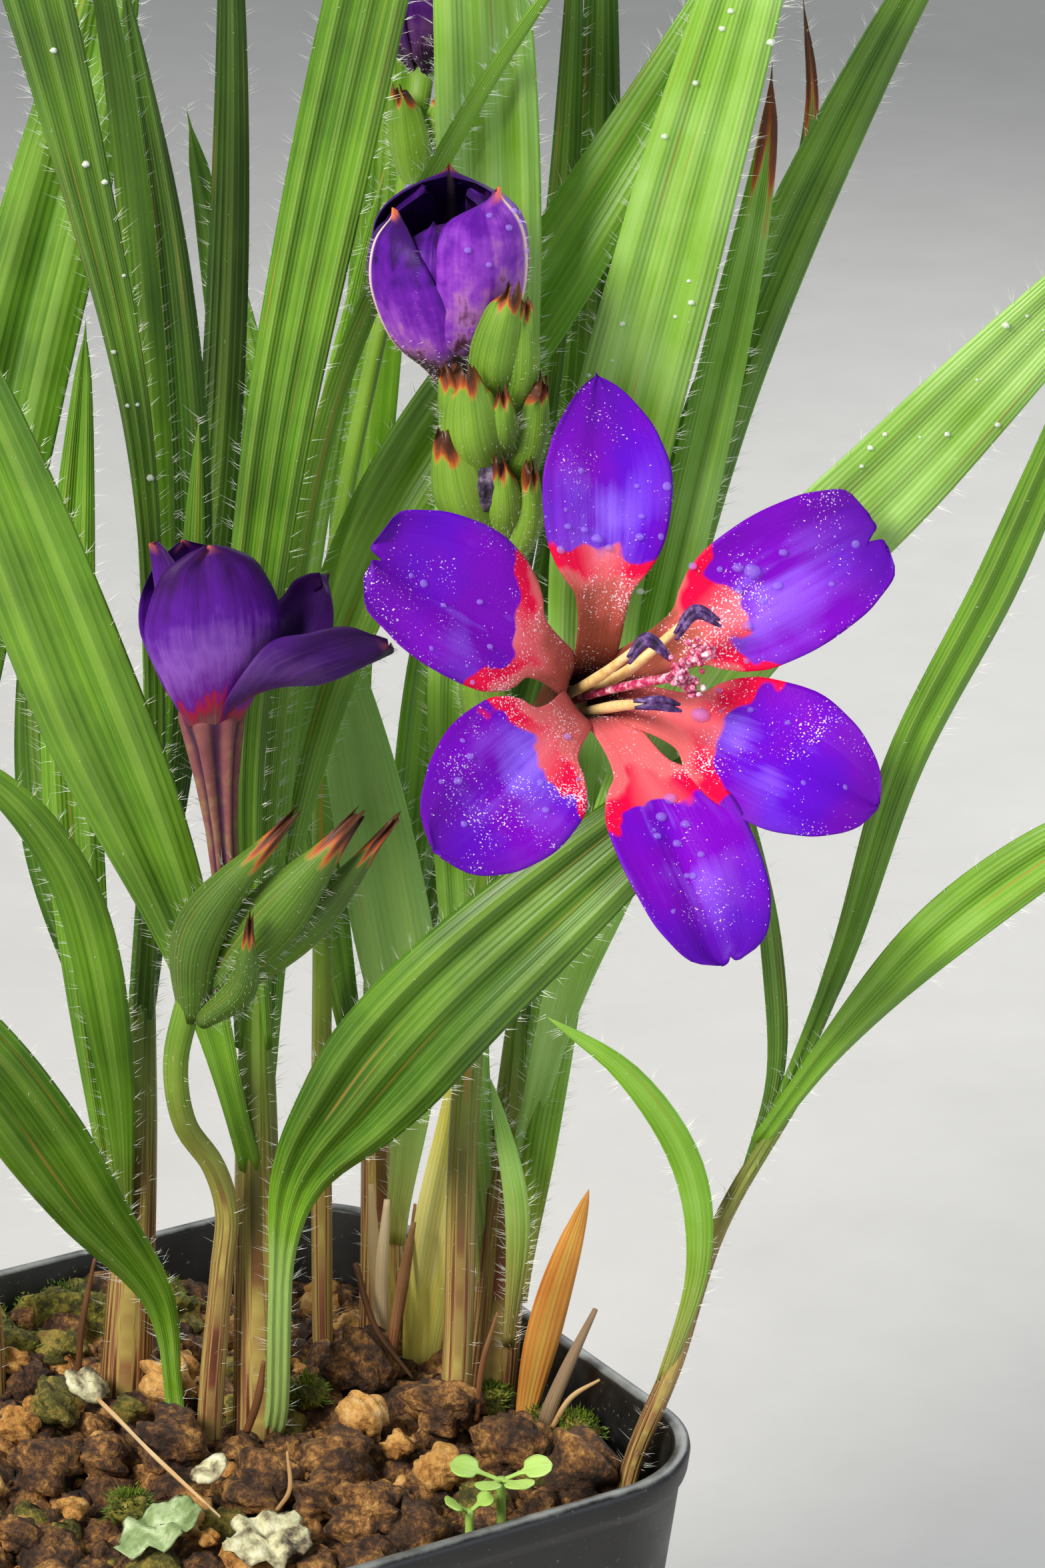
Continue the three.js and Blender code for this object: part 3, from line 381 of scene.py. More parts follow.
def grown(name, mesh, make, **values):
    """The plain mesh that a geometry tree makes of a mesh, as a new object at the origin"""
    piece = show(mesh)
    piece.name = name
    modifier = piece.modifiers.new(name, "NODES")
    modifier.node_group = make()
    for item in modifier.node_group.interface.items_tree:
        if item.in_out == "INPUT" and item.name in values:
            modifier[item.identifier] = values[item.name]
    baked(piece, modifier)
    if not piece.data.polygons:
        raise RuntimeError(f"{name}: its tree made nothing")
    return piece


def hair_piece(name, shells, thickness, material, slot):
    """The hairs of a piece, grown from the roots that its shells kept"""
    roots = bpy.data.meshes.new(name + "_roots")
    points, ways = (turned(np.vstack(each), shells.turn) * MM for each in (shells.roots, shells.ways))
    roots.from_pydata(points.tolist(), [], [])
    layer = roots.attributes.new("way", "FLOAT_VECTOR", "POINT")
    layer.data.foreach_set("vector", ways.astype(np.float32).reshape(-1))
    return settle(grown(name, roots, hair_tree, Thickness=thickness, Material=material), slot)


# Materials

def new_material(name):
    """A material, the call that adds a node to it, and the call that reads a value its piece carries"""
    material = bpy.data.materials.new(name)
    material.use_nodes = True
    material.node_tree.nodes.clear()
    node = partial(add, material.node_tree)
    return material, node, cache(lambda value: node("Attribute", out="Fac", attribute_name=value))


def dress(material, colour, *layers, relief=(), **sockets):
    """Lays colours over the first one, each by its share, and sets the one Principled shader.
    The relief is a height, its strength and its depth in metres"""
    node = partial(add, material.node_tree)
    for share, over in layers:
        colour = node("Mix", {0: share, 6: colour, 7: over}, out=2, data_type="RGBA")
    if relief:
        sockets["Normal"] = node("Bump", **dict(zip(("Height", "Strength", "Distance"), relief)))
    node("OutputMaterial", node("BsdfPrincipled", Base_Color=colour, **sockets))
    return material


def grained(size):
    """The scale of a pattern whose grains are this many millimetres wide"""
    return 1 / (size * MM)


def streaked(node, carried, stretch, scale, roughness):
    """Fine streaks that run along a blade, and the drawn-out place that they are read at"""
    length = node("Math", carried("along"), stretch, operation="MULTIPLY")
    grain = node("CombineXYZ", carried("across"), length, carried("tone"))
    return grain, node("TexNoise", Vector=grain, Scale=scale, Detail=5.0, Roughness=roughness)


# Leaf tissues: each has its shades from dark to bright, its roughness and the relief of its ribs in metres
TISSUES = {
    # Waxy skin over green flesh: a clear mid green with a soft gloss
    "Living leaf": (("#182E02", "#3C6606", "#6EA020", "#9CC66C"), 0.42, 0.00014),
    # Firm green boat, finely hairy: duller than a leaf
    "Bract": (("#2A4608", "#567E18", "#8CB43A", "#BCD86C"), 0.5, 0.00003),
    # Soft tissue that has lost its green: pale yellow, almost translucent
    "Yellowed leaf": (("#B47A34", "#DECC50", "#F4EC78", "#FAF4B0"), 0.5, 0.00006),
    # Dried blade: orange-brown and papery
    "Dead leaf": (("#5A2A0A", "#B0661C", "#E0A44C", "#F2CC84"), 0.65, 0.00014),
    # Old sheath: grey-brown fibre, matt
    "Dry sheath": (("#3A2A20", "#6E5442", "#A08268", "#C8B090"), 0.7, 0.00014),
    # Bleached stalk: tan to cream, matt
    "Dry straw": (("#2E140C", "#7A4428", "#C89C68", "#EAD8B0"), 0.6, 0.00005),
    # Tender young leaf: light green and smooth
    "Seed leaf": (("#5E8A2A", "#8FB84A", "#B4D872", "#D2EA9A"), 0.4, 0.00004),
}


def leaf_tissue(name):
    """Leaf: a waxy or dried skin over pleats and close parallel veins.
    The veins show as pale lines about half a millimetre apart, the crests of the pleats carry a painted
    highlight, the sheath is stained red-brown and a scorched tip is orange"""
    material, node, carried = new_material(name)
    place = node("TexCoord", out="Object")
    shades, sheen, ribs = TISSUES[name]
    grain, streaks = streaked(node, carried, 0.16, 8.0, 0.6)
    veins = node("TexWave", Vector=grain, Scale=2.1, Distortion=1.6, Detail=2.0,
                 out="Fac", bands_direction="X")
    clouds = node("TexNoise", Vector=place, Scale=grained(10.53), Detail=3.0)
    spots = node("TexNoise", Vector=grain, Scale=11.0, Detail=1.0)
    lit = node("MapRange", streaks, 0.3, 0.7, -0.1, 0.1)
    cloudy = node("MapRange", clouds, 0.35, 0.65, -0.1, 0.1)
    shade = node("Math", node("Math", carried("tone"), lit), cloudy)
    green = node("ValToRGB", shade, stops=zip((0.0, 0.35, 0.7, 1.0), shades))
    # Painted highlight: the crests of the pleats are made lighter, in the same pale mix as the veins
    painted_crest_highlight = node("MapRange", carried("crest"), 0.3, 1.0, 0.0, 0.16)
    pale = node("Math", node("MapRange", veins, 0.7, 1.0, 0.0, 0.1), painted_crest_highlight, use_clamp=True)
    freckled = node("MapRange", spots, 0.7, 0.76, 0.0, 0.6)
    stained = node("Math", carried("stain"), lit, use_clamp=True)
    sheath = node("ValToRGB", streaks, stops=(
        (0.3, "#2A120C"), (0.43, "#743A30"), (0.52, "#B0A056"), (0.6, "#8E5A42"), (0.7, "#4E2A24")))
    char = node("Math", carried("scorch"), node("MapRange", clouds, 0.35, 0.65, -0.22, 0.22))
    burnt = node("ValToRGB", char, stops=(
        (0.12, "#B8A044"), (0.3, "#BE5A1C"), (0.5, "#8A4018"), (0.85, "#4A2410")))
    scorched = node("Math", carried("scorch"), 0.02, operation="GREATER_THAN")
    dried = node("Math", node("MapRange", char, 0.12, 0.4), scorched, operation="MULTIPLY")
    relief = node("Math", veins, 0.6, streaks, operation="MULTIPLY_ADD")
    return dress(
        material, green, (pale, "#AED264"), (freckled, "#B07A34"), (stained, sheath), (dried, burnt),
        relief=(relief, 0.5, ribs), IOR=1.45,
        Roughness=node("MapRange", streaks, 0.3, 0.7, sheen - 0.08, sheen + 0.1),
        Subsurface_Weight=0.12, Subsurface_Radius=(0.5, 1.0, 0.2), Subsurface_Scale=0.0006)


def open_tepal(look):
    """Open tepal: velvety violet cells, a lilac streak up the middle, a crimson lobed zone and a
    salmon claw. Each cell is a tiny lens, which gives the skin a fine sparkle and a soft sheen; cells
    and dust are drawn a few times too coarse, so that they show"""
    material, node, carried = new_material("Open tepal")
    place = node("TexCoord", out="Object")
    across, along, tone = map(carried, ("across", "along", "tone"))
    edge = node("Math", across, operation="ABSOLUTE")
    bow = node("Math", edge, 2.0, operation="POWER")
    border = node("Math", bow, 0.07, 0.43, operation="MULTIPLY_ADD")
    spot = node("CombineXYZ", across, along, tone)
    ragged = node("TexNoise", Vector=spot, Scale=1.1, Detail=0.0)
    lobes = node("TexNoise", Vector=place, Scale=grained(2.5), Detail=1.0)
    ragged = node("Math", lobes, 0.75, ragged, operation="MULTIPLY_ADD")
    drift = node("MapRange", ragged, 0.55, 1.2, -0.09, 0.09)
    past = node("Math", node("Math", along, border, operation="SUBTRACT"), drift)
    zone = node("MapRange", past, -0.25, 0.25)
    flesh = node("ValToRGB", zone, stops=(
        (0.0, "#84402F"), (0.16, "#B4564A"), (0.3, "#DC6468"), (0.46, "#EC7C88"), (0.52, "#D884A8")))
    band = node("MapRange", zone, 0.25, 0.37, interpolation_type="SMOOTHSTEP")
    sides = node("MapRange", edge, 0.1, 0.55, 0.25)
    band = node("Math", band, sides, operation="MULTIPLY")
    _, threads = streaked(node, carried, 0.14, 9.0, 0.55)
    patches = node("TexNoise", Vector=place, Scale=grained(7.692), Detail=2.0)
    streaks = node("Math", threads, 0.35, patches, operation="MULTIPLY_ADD")
    streaks = node("MapRange", streaks, 0.65, 0.83)
    low = node("MapRange", along, 0.5, 0.96, 1.0, 0.1)
    middle = node("MapRange", edge, 0.08, 0.7, 1.0, 0.25)
    pale = node("Math", low, middle, operation="MULTIPLY")
    pale = node("Math", pale, streaks, operation="MULTIPLY", use_clamp=True)
    washes = node("TexNoise", Vector=place, Scale=grained(11.765), Detail=3.0)
    washes = node("MapRange", washes, 0.48, 0.64, 0.0, 0.6)
    rim = node("MapRange", along, 0.72, 1.0, 0.0, 0.75)
    margin = node("MapRange", edge, 0.8, 1.0, 0.0, 0.35)
    rim = node("Math", rim, margin, operation="MAXIMUM")
    violet = (*look.violet, 1)
    for share, over in ((washes, "#4408CC"), (pale, (*look.lilac, 1)), (rim, "#4A0488")):
        violet = node("Mix", {0: share, 6: violet, 7: over}, out=2, data_type="RGBA")
    front = node("MapRange", zone, 0.5, 0.535)
    throat = node("MapRange", along, 0.03, 0.16, 1.0, 0.0)
    powder = node("TexNoise", Vector=place, Scale=grained(0.16129), Detail=0.0)
    drifts = node("TexNoise", Vector=place, Scale=grained(4.762), Detail=3.0)
    powder = node("Math", drifts, 0.9, powder, operation="MULTIPLY_ADD")
    frosted = node("MapRange", zone, 0.5, 0.54, 0.07, 0.0)
    powder = node("MapRange", node("Math", powder, frosted), 1.25, 1.33, 0.0, 0.7)
    cells = node("TexNoise", Vector=place, Scale=grained(0.238095), Detail=2.0)
    relief = node("Math", threads, 2.4, cells, operation="MULTIPLY_ADD")
    return dress(
        material, flesh, (carried("crest"), "#E2686E"), (band, "#E00440"), (front, violet),
        (throat, "#3A0C0A"), (powder, "#F6EAFA"), relief=(relief, 0.35, 0.00012), Roughness=0.46,
        IOR=1.4, Specular_IOR_Level=0.15, Sheen_Weight=0.02, Sheen_Roughness=0.4, Sheen_Tint="#B79CFF")


def closed_tepal(name, stops, grain=0.05):
    """Tepal of a bud or a cup seen from outside: matt violet that fades to mauve and brown towards
    the tube, with a pale hairy keel up its back"""
    material, node, carried = new_material(name)
    place = node("TexCoord", out="Object")
    _, threads = streaked(node, carried, 0.2, 8.0, 0.6)
    mottle = node("TexNoise", Vector=place, Scale=grained(1.4286), Detail=4.0)
    shift = node("MapRange", threads, 0.3, 0.7, -0.1, 0.1)
    grainy = node("MapRange", mottle, 0.3, 0.7, -grain, grain)
    height = node("Math", node("Math", carried("along"), shift), grainy)
    edge = node("Math", carried("across"), operation="ABSOLUTE")
    height = node("Math", edge, 0.16, height, operation="MULTIPLY_ADD")
    ridge = node("MapRange", edge, 0.015, 0.05, 1.0, 0.0)
    ridge = node("Math", ridge, carried("crest"), operation="MULTIPLY")
    relief = node("Math", threads, 2.0, mottle, operation="MULTIPLY_ADD")
    # The stain blends towards near-black: painted shade on the inner faces of the buds, on their cores and in
    # the grooves of the side bloom's tube. It also darkens the back bud's outer faces and the flung side
    # tepals as a whole
    return dress(
        material, node("ValToRGB", height, stops=stops), (ridge, "#E8CFC0"), (carried("scorch"), "#E8742A"),
        (carried("stain"), "#1C0434"), relief=(relief, 0.35, 0.00012), Roughness=0.5, IOR=1.4,
        Specular_IOR_Level=0.22, Sheen_Weight=0.04, Sheen_Tint="#C8A8F0")


# Natural skins: each has its colours by grain, the width of its grains in millimetres, its roughness and
# its relief in metres
SKINS = {
    # Lichen on a flake of stone: chalky, blotched grey to cream
    "Lichen chip": (((0.36, "#4E463A"), (0.46, "#9A9272"), (0.56, "#C9C7A0"), (0.68, "#E4E2CC")),
                    1.923, 0.8, 0.0004),
    # Leaf that dried pale green: papery, with a faint gloss
    "Leaf scrap": (((0.34, "#5E7240"), (0.5, "#8CA26E"), (0.66, "#C2D0A8")), 2.381, 0.45, 0.0003),
    # Cushion of moss: dark gaps between dull olive tips
    "Moss cushion": (((0.3, "#1E2008"), (0.45, "#47440F"), (0.55, "#706A20"), (0.7, "#A09048")),
                     1.111, 0.85, 0.0006),
    # Moss leaf: thin, olive and matt
    "Moss leaf": (((0.3, "#24380A"), (0.5, "#4E6A14"), (0.7, "#8C9C34")), 3.333, 0.6, 0.0002),
    # Corm tunic: netted brown fibre, dull and rough
    "Corm tunic": (((0.3, "#3A2414"), (0.48, "#6E4A2A"), (0.6, "#9A7448"), (0.7, "#5A3A20")),
                   1.25, 0.8, 0.0003),
    # Pollen and dust: matt white specks, coarser than real grains so that they show
    "Pollen and dust": (((0.3, "#F4E6E0"), (0.6, "#FFFFFF")), 1.111, 0.6, 0.0002),
    # Filament: smooth cream flesh with a moist sheen
    "Filament": (((0.3, "#C99A4A"), (0.5, "#E6C988"), (0.7, "#F4E2B4")), 2.0, 0.5, 0.0002),
    # Anther: dark violet sacs with a bloom of pale pollen
    "Anther": (((0.35, "#1E0A30"), (0.5, "#43205E"), (0.68, "#8A6CA8")), 0.8333, 0.45, 0.0003),
    # Style and its papillae: glistening rose, speckled white
    "Style": (((0.34, "#8E1440"), (0.46, "#C23A68"), (0.54, "#E690AC"), (0.64, "#F8E4EC")),
              0.7692, 0.4, 0.0002),
    # Withered petal: crumpled, blue-black to grey, matt
    "Withered flower": (((0.36, "#16101C"), (0.48, "#2E2438"), (0.56, "#544660"), (0.66, "#8A7C90")),
                        1.4286, 0.7, 0.0004),
    # Studio paper: pale, even and matt
    "Studio paper": (((0.3, "#BEBDBA"), (0.7, "#C4C3C0")), 25.0, 0.9, 0.0001),
}


def mottled(name):
    """A natural skin whose colour goes through a ramp by a grain of a real size"""
    material, node, _ = new_material(name)
    place = node("TexCoord", out="Object")
    stops, size, roughness, depth = SKINS[name]
    grain = node("TexNoise", Vector=place, Scale=grained(size), Detail=5.0, Roughness=0.65)
    return dress(material, node("ValToRGB", grain, stops=stops), relief=(grain, 0.7, depth),
                 Roughness=roughness, IOR=1.45)


def grit(name):
    """Potting grit: crumbs of baked clay and humus 3 to 7 mm across, made of grains of about 0.5 mm.
    Most are dark brown with rust and tan grains; some are tan pumice, ochre or mossy"""
    material, node, carried = new_material(name)
    place = node("TexCoord", out="Object")
    grains = node("TexVoronoi", Vector=place, Scale=grained(1.111), Randomness=1.0,
                  out="Distance", feature="SMOOTH_F1")
    crumbs = node("TexNoise", Vector=place, Scale=grained(0.6667), Detail=5.0, Roughness=0.7)
    clots = node("TexNoise", Vector=place, Scale=grained(3.333), Detail=4.0)
    mixed = node("Math", crumbs, 0.9, clots, operation="MULTIPLY_ADD")
    mixed = node("Math", mixed, 0.53, operation="MULTIPLY")
    dark, tan, moss = (node("ValToRGB", mixed, stops=stops) for stops in (
        ((0.36, "#180E08"), (0.44, "#382414"), (0.5, "#5A3C22"), (0.56, "#8A602E"), (0.64, "#C69656")),
        ((0.36, "#6E4418"), (0.46, "#B8823C"), (0.56, "#D8A860"), (0.66, "#EBCB92")),
        ((0.38, "#2A2A0C"), (0.48, "#5A5618"), (0.56, "#97883A"), (0.64, "#86582C"))))
    is_tan, is_moss = (node("Math", carried("tone"), least, operation="GREATER_THAN")
                       for least in (0.8, 0.92))
    relief = node("Math", grains, -0.7, crumbs, operation="MULTIPLY_ADD")
    return dress(material, dark, (is_tan, tan), (is_moss, moss), relief=(relief, 0.9, 0.0006),
                 Roughness=0.82, IOR=1.5)


def black_plastic(look):
    """Thin recycled polypropylene pot: black, faintly glossy and injection moulded.
    Its rim is lighter grey in patches along its top edge, and dust and dried splashes lie on its side"""
    material, node, _ = new_material("Black polypropylene")
    place = node("TexCoord", out="Object")
    height = node("SeparateXYZ", place, out="Z")
    scuffs = node("TexNoise", Vector=place, Scale=grained(3.846), Detail=6.0)
    dust = node("TexNoise", Vector=place, Scale=grained(0.6667), Detail=3.0, Roughness=0.8)
    top = node("MapRange", height, (POT_HEIGHT - 0.5) * MM, (POT_HEIGHT - 0.05) * MM)
    # Lighter grey in patches along the top edge of the rim
    pale_rim_patches = node("MapRange", node("Math", top, scuffs, operation="MULTIPLY"), 0.28, 0.75)
    specks = node("MapRange", dust, 0.64, 0.72, 0.0, 0.5)
    film = node("MapRange", scuffs, 0.45, 0.75, 0.0, 0.03)
    dirt = node("Math", specks, film, use_clamp=True)
    return dress(material, (*look.plastic, 1), (dirt, "#8C8578"), (pale_rim_patches, "#8E9290"),
                 relief=(scuffs, 0.25, 0.0002), IOR=1.49,
                 Roughness=node("MapRange", scuffs, 0.3, 0.7, 0.34, 0.5))


WATER_IOR = 1.333


def clear(name, colour, ior=1.4, roughness=0.5, alpha=1.0):
    """A pale thin body: a water drop is a smooth lens of IOR 1.33 that lets most light by, a hair is a
    matt white cell"""
    return dress(new_material(name)[0], colour, IOR=ior, Roughness=roughness, Alpha=alpha)


# Leaves

# How deep pleats and keel are, as shares of a leaf's half width, its thickness, and the length of each row
# of its faces
PLEAT = 0.085
KEEL = 0.12
LEAF_THICKNESS = 0.5
LEAF_ROW = 1.7
# Hairs on a leaf's margins and ridges and on a stem: length, and how many to each millimetre
MARGIN_HAIRS, RIDGE_HAIRS, STEM_HAIRS = (0.95, 1.9), (0.4, 0.4), (1.1, 3)
# Heights at which the red-brown stain of the sheaths ends and is full
LEAF_STAIN, STEM_STAIN = (104, 78), (122, 84)
BEAD_RADII = (0.12, 0.42)

# Each shoot has its stem's path and radii, and its leaves. Each leaf has its midline, its width, how its
# face turns from the viewer at foot and tip, its pleats, its petiole's share of the width, where it is
# widest, and its tone from dark to bright. A leaf's tone is partly its own green and partly painted shade
# and light: leaves that lie in shadow are darkened by low tones, and some shaded leaves are lightened by
# high ones
SHOOTS = {
    "shoot_front": (([[3.4, 7.5, 60], [4.4, 7.6, 76], [4.6, 7.6, 100], [5, 7.4, 128]], [2.5, 2.4, 1.9, 0.9]),
                     [
        dict(path=[[5.4, 6.4, 73], [6, 6, 75], [8, 3, 99], [14, -1, 110], [22, -4, 121], [37, -3, 135],
             [52, 3, 146]], width=11.5, turn=(10, -6), pleats=3, petiole=0.19, tone=0.36, start=0.36,
             stain=0.32, pale=0.75),
        dict(path=[[4.6, 7, 112], [4, 5, 138], [7, 3, 166], [11.6, 2, 190], [20, 0, 226], [27, 1, 252]],
             width=7, turn=(-8, 12), pleats=3, petiole=0.5, widest=0.66, tone=0.42),
        dict(path=[[5, 7.6, 118], [8, 8, 150], [13, 9.6, 174], [24.6, 10, 198], [38, 7, 218]], width=2.2,
             pleats=1, turn=(10, 20), petiole=0.5, tone=0.6, hairy=2.0),
        dict(path=[[5, 9, 112], [9, 11, 152], [13, 12, 174], [17, 12.6, 192]], width=3, pleats=1,
             turn=(0, 20), petiole=0.5, tone=0.7, scorch=0.2),
        dict(path=[[3.6, 8, 118], [0, 7, 150], [0.8, 7, 171]], width=2.8, pleats=1, petiole=0.5, tone=0.6),
        dict(path=[[5, 8.6, 108], [8, 11, 134], [16, 14, 158], [31, 19, 180], [46, 24, 204], [56, 27, 224]],
             width=8, turn=(0, 14), petiole=0.34, tone=0.66),
        dict(path=[[4.2, 6.4, 100], [-1, 3, 124], [-9, -4, 150], [-18, -10, 180], [-24, -12, 200]], width=10,
             turn=(-10, 0), petiole=0.22),
    ]),
    "shoot_low_left": (None, [
        dict(path=[[-2.8, 9.2, 62], [-3.6, 9, 76], [-4.5, 6, 87], [-10, 0, 99], [-18, -9, 117],
             [-27, -17, 132], [-36, -22, 144]], width=9, turn=(-14, -4), petiole=0.2, widest=0.55, tone=0.4,
             stain=0, start=0.3, pale=0.45),
    ]),
    "shoot_left": (([[-9.6, 17, 60], [-8.5, 15.5, 76], [-7, 15, 96], [-5.5, 14.4, 124]],
                    [2.8, 2.3, 1.7, 0.8]), [
        dict(path=[[-6, 14, 112], [-4, 11, 138], [-4.4, 8.6, 168], [-9, 5, 196], [-16, 2, 228],
             [-23, 3, 258]], width=7.6, turn=(6, -12), pleats=3, petiole=0.24, widest=0.88, tone=0.32,
             start=0.28, beads=16),
        dict(path=[[-6, 15.4, 108], [-3.6, 14, 150], [-5, 12, 192], [-9, 9, 224]], width=3.4, pleats=1,
             petiole=0.5),
        dict(path=[[-7, 16.4, 104], [-1.6, 18, 150], [-2.4, 20, 180], [-6, 21, 208]], width=5, turn=(0, 20),
             tone=0.24),
        dict(path=[[-8.6, 16.4, 84], [-11.4, 18, 115], [-12.4, 20, 141], [-10, 22, 176]], width=5.4,
             tone=0.46),
        dict(path=[[-8, 14, 86], [-8.4, 11, 108], [-12, 6, 130], [-20, 2, 141], [-29, 0, 143]], width=4.4,
             pleats=1),
        dict(path=[[-8.4, 17, 92], [-4.5, 23, 124], [1, 28, 160], [3, 31, 205], [2, 32, 226]], width=4,
             pleats=1, turn=(10, 0), petiole=0.4, tone=0.16),
        dict(path=[[-8, 17, 88], [-10, 19, 110], [-15, 21, 128], [-16, 22, 152]], width=5, pleats=1, tone=0.2,
             scorch=0.5),
    ]),
    "shoot_far_left": (([[-22, 14.6, 60], [-22, 15, 76], [-22.5, 17, 98]], [2.2, 2.1, 1.0]), [
        dict(path=[[-22.4, 17, 88], [-24, 24, 130], [-18, 29, 166], [-9, 31, 200], [-5, 31, 222]], width=10,
             turn=(-20, 6), petiole=0.2, widest=0.6, tone=0.44),
        dict(path=[[-22.6, 16, 86], [-28, 17, 118], [-31, 16, 154], [-37, 12, 190]], width=7, turn=(-30, -10),
             tone=0.4),
        dict(path=[[-22.8, 15, 84], [-28, 9, 106], [-37, 2, 122], [-46, -4, 128]], width=5, turn=(-30, -30),
             pleats=1, tone=0.45),
    ]),
    "shoot_back": (([[15, 25.6, 60], [15.5, 27, 76], [15.4, 27, 98], [15, 27, 120]], [2.7, 2.3, 1.8, 0.8]), [
        dict(path=[[15.2, 27.4, 108], [13, 27, 140], [16, 28, 180], [19, 29, 226]], width=5.4, pleats=1,
             petiole=0.4),
        dict(path=[[16.6, 25.4, 84], [18.4, 21.8, 104], [15, 18.4, 130], [10, 17.4, 156]], width=7.4,
             turn=(-6, 10), tone=1.0),
        dict(path=[[16, 28, 96], [27, 31, 128], [34, 32, 160], [36, 32, 208], [36, 31, 224]], width=5,
             pleats=1, tone=0.22),
        dict(path=[[16, 29, 94], [34, 34, 130], [47, 36, 160], [55, 36, 190], [54, 35, 203]], width=3,
             pleats=1, petiole=0.4, tone=0.3, scorch=1.0),
        dict(path=[[15.6, 28, 100], [26, 27.6, 140], [32, 27, 180], [34, 27, 218]], width=3.4, pleats=1,
             petiole=0.4, tone=0.26),
        dict(path=[[14.6, 28, 92], [9, 34, 124], [4, 40, 158], [-2, 44, 190]], width=7, turn=(180, 160),
             petiole=0.25, tone=0.42),
        dict(path=[[16, 29, 90], [19, 36, 116], [22, 44, 142], [27, 52, 160]], width=7, turn=(180, 200),
             petiole=0.25, tone=0.48),
    ]),
    "shoot_right": (([[24, 12.8, 60], [26, 13.5, 76], [27.4, 13.4, 96], [29, 13, 118]], [2.6, 2.4, 1.9, 0.8]),
                     [
        dict(path=[[26.4, 13, 80], [24, 12.6, 112], [23.4, 12.4, 140], [26, 13.2, 176], [25, 13.4, 214],
             [22, 14, 246]], width=9, turn=(-6, 6), pleats=3, petiole=0.28, widest=0.66, tone=0.8),
        dict(path=[[28.6, 13, 100], [34, 11.4, 130], [36, 11, 160], [42, 10, 187], [51, 7, 222],
             [55, 7, 240]], width=9.4, turn=(-10, 4), pleats=3, petiole=0.28, tone=0.84, beads=46,
             relief=0.75),
        dict(path=[[28.8, 14.4, 98], [36, 14.6, 126], [43.6, 15, 160], [50, 14.6, 193], [50.4, 14, 201]],
             width=4.6, petiole=0.4, widest=0.6, tone=0.8, scorch=0.9),
        dict(path=[[28.6, 15, 96], [37, 18, 132], [47, 20.6, 170], [60, 22, 200], [73, 24, 222]], width=6.6,
             turn=(10, 20), tone=0.4, scorch=0.2),
        dict(path=[[28, 11.6, 96], [34, 6, 122], [45, 3, 149], [63, 1, 170], [80, 0, 189], [88, 0, 198]],
             width=9.6, turn=(0, 6), pleats=3, petiole=0.22, widest=0.55, tone=0.86, beads=26, relief=0.45),
        dict(path=[[27.6, 11.4, 80], [28.4, 6.8, 96], [26, 4.6, 110]], width=2.3, pleats=1, petiole=0.5,
             tone=0.9, hairy=2.0),
        dict(path=[[28.6, 12.6, 84], [31, 9.6, 104], [34.4, 8, 121]], width=3, pleats=1, petiole=0.5,
             tone=0.64, hairy=2.0),
    ]),
    "shoot_seedling": (([[37.8, -4.8, 70], [38.9, -4.6, 76], [42.5, -4.6, 86], [46.5, -3.4, 99],
                        [53, -2.4, 111]], [0.9, 0.95, 0.85, 0.8, 0.7]), [
        dict(path=[[51, -2.7, 108], [57, -3, 125], [62, -3, 143], [70, -4, 161], [77, -6, 182],
             [80, -7, 196]], width=4.4, turn=(10, 20), petiole=0.35, widest=0.55),
        dict(path=[[50, -2.8, 107], [56, -5, 117], [65, -8, 129], [76, -11, 139], [86, -13, 145]], width=5.6,
             turn=(0, -10), widest=0.6, tone=0.64),
        dict(path=[[49, -3, 104], [51.4, -1.6, 113], [51, 0, 124], [48.4, 2, 139]], width=2, pleats=1,
             petiole=0.6, tone=0.3),
        dict(path=[[41.5, -4.8, 84], [44.6, -6.4, 97], [43.4, -7.4, 107], [38, -8.2, 116], [31, -7.4, 121]],
             width=2.8, pleats=1, turn=(0, 10), petiole=0.45, widest=0.55, tone=0.74),
    ]),
}


# Faded leaves: midlines and widths
YELLOWED_PATH = [[18.2, 22.2, 62], [19.4, 21.8, 76], [21, 19, 88], [23, 16.4, 103], [22.6, 15.6, 111]]
YELLOWED_WIDTH = 5
DEAD_PATH = [[28.6, 9.1, 68], [29.2, 9, 74], [31.6, 8, 86], [35, 7, 98]]
DEAD_WIDTH = 3.3
STUB_PATH = [[30, 4.8, 69], [31.2, 4.6, 76], [33, 4.6, 81], [35.6, 4.6, 87]]
STUB_RADII = [0.9, 0.8, 0.6, 0.25]
# Weeds: each has its name, its place, how high its stem and how long its leaves are, and its leaves'
# bearings and half widths
WEEDS = [("weed_large", (27, -14), 5.4, 4.6, [(172, 2.1), (8, 2.1), (250, 1.2), (-60, 1.4)]),
         ("weed_small", (24.2, -16.6), 3.6, 2.2, [(200, 1.5), (20, 1.3)])]


def leaf_outline(s, petiole, widest, start):
    """Half of a leaf's width along its length: a petiole, a blade and a fine point"""
    swell = petiole + (1 - petiole) * ease(start, 1, s / widest)
    taper = 1 - 0.91 * np.clip((s - widest) / (1 - widest), 0, 1) ** 2.1
    return np.where(s < widest, swell, taper) * (1 - 0.96 * ease(0.94, 1.0, s) ** 1.5)


def spine(path, rows, turn):
    """The stations of a blade: shares of its length, its midline, and its ways along, aside and out"""
    line = smooth_path(path, rows)
    s = np.linspace(0, 1, rows)[:, None]
    along = unit(np.gradient(line, axis=0))
    bearing = np.radians(turn[0] + (turn[1] - turn[0]) * s)
    side = unit(np.cross(along, np.hstack([np.sin(bearing), -np.cos(bearing), 0 * s])))
    return s, *(each[:, None] for each in (line, along, side, np.cross(side, along)))


def sheet(middle, normal, thick):
    """The rings of a thin blade: across its face, and back across its other side"""
    offset = normal * (thick / 2)[..., None]
    return np.hstack([middle + offset, (middle - offset)[:, ::-1]])


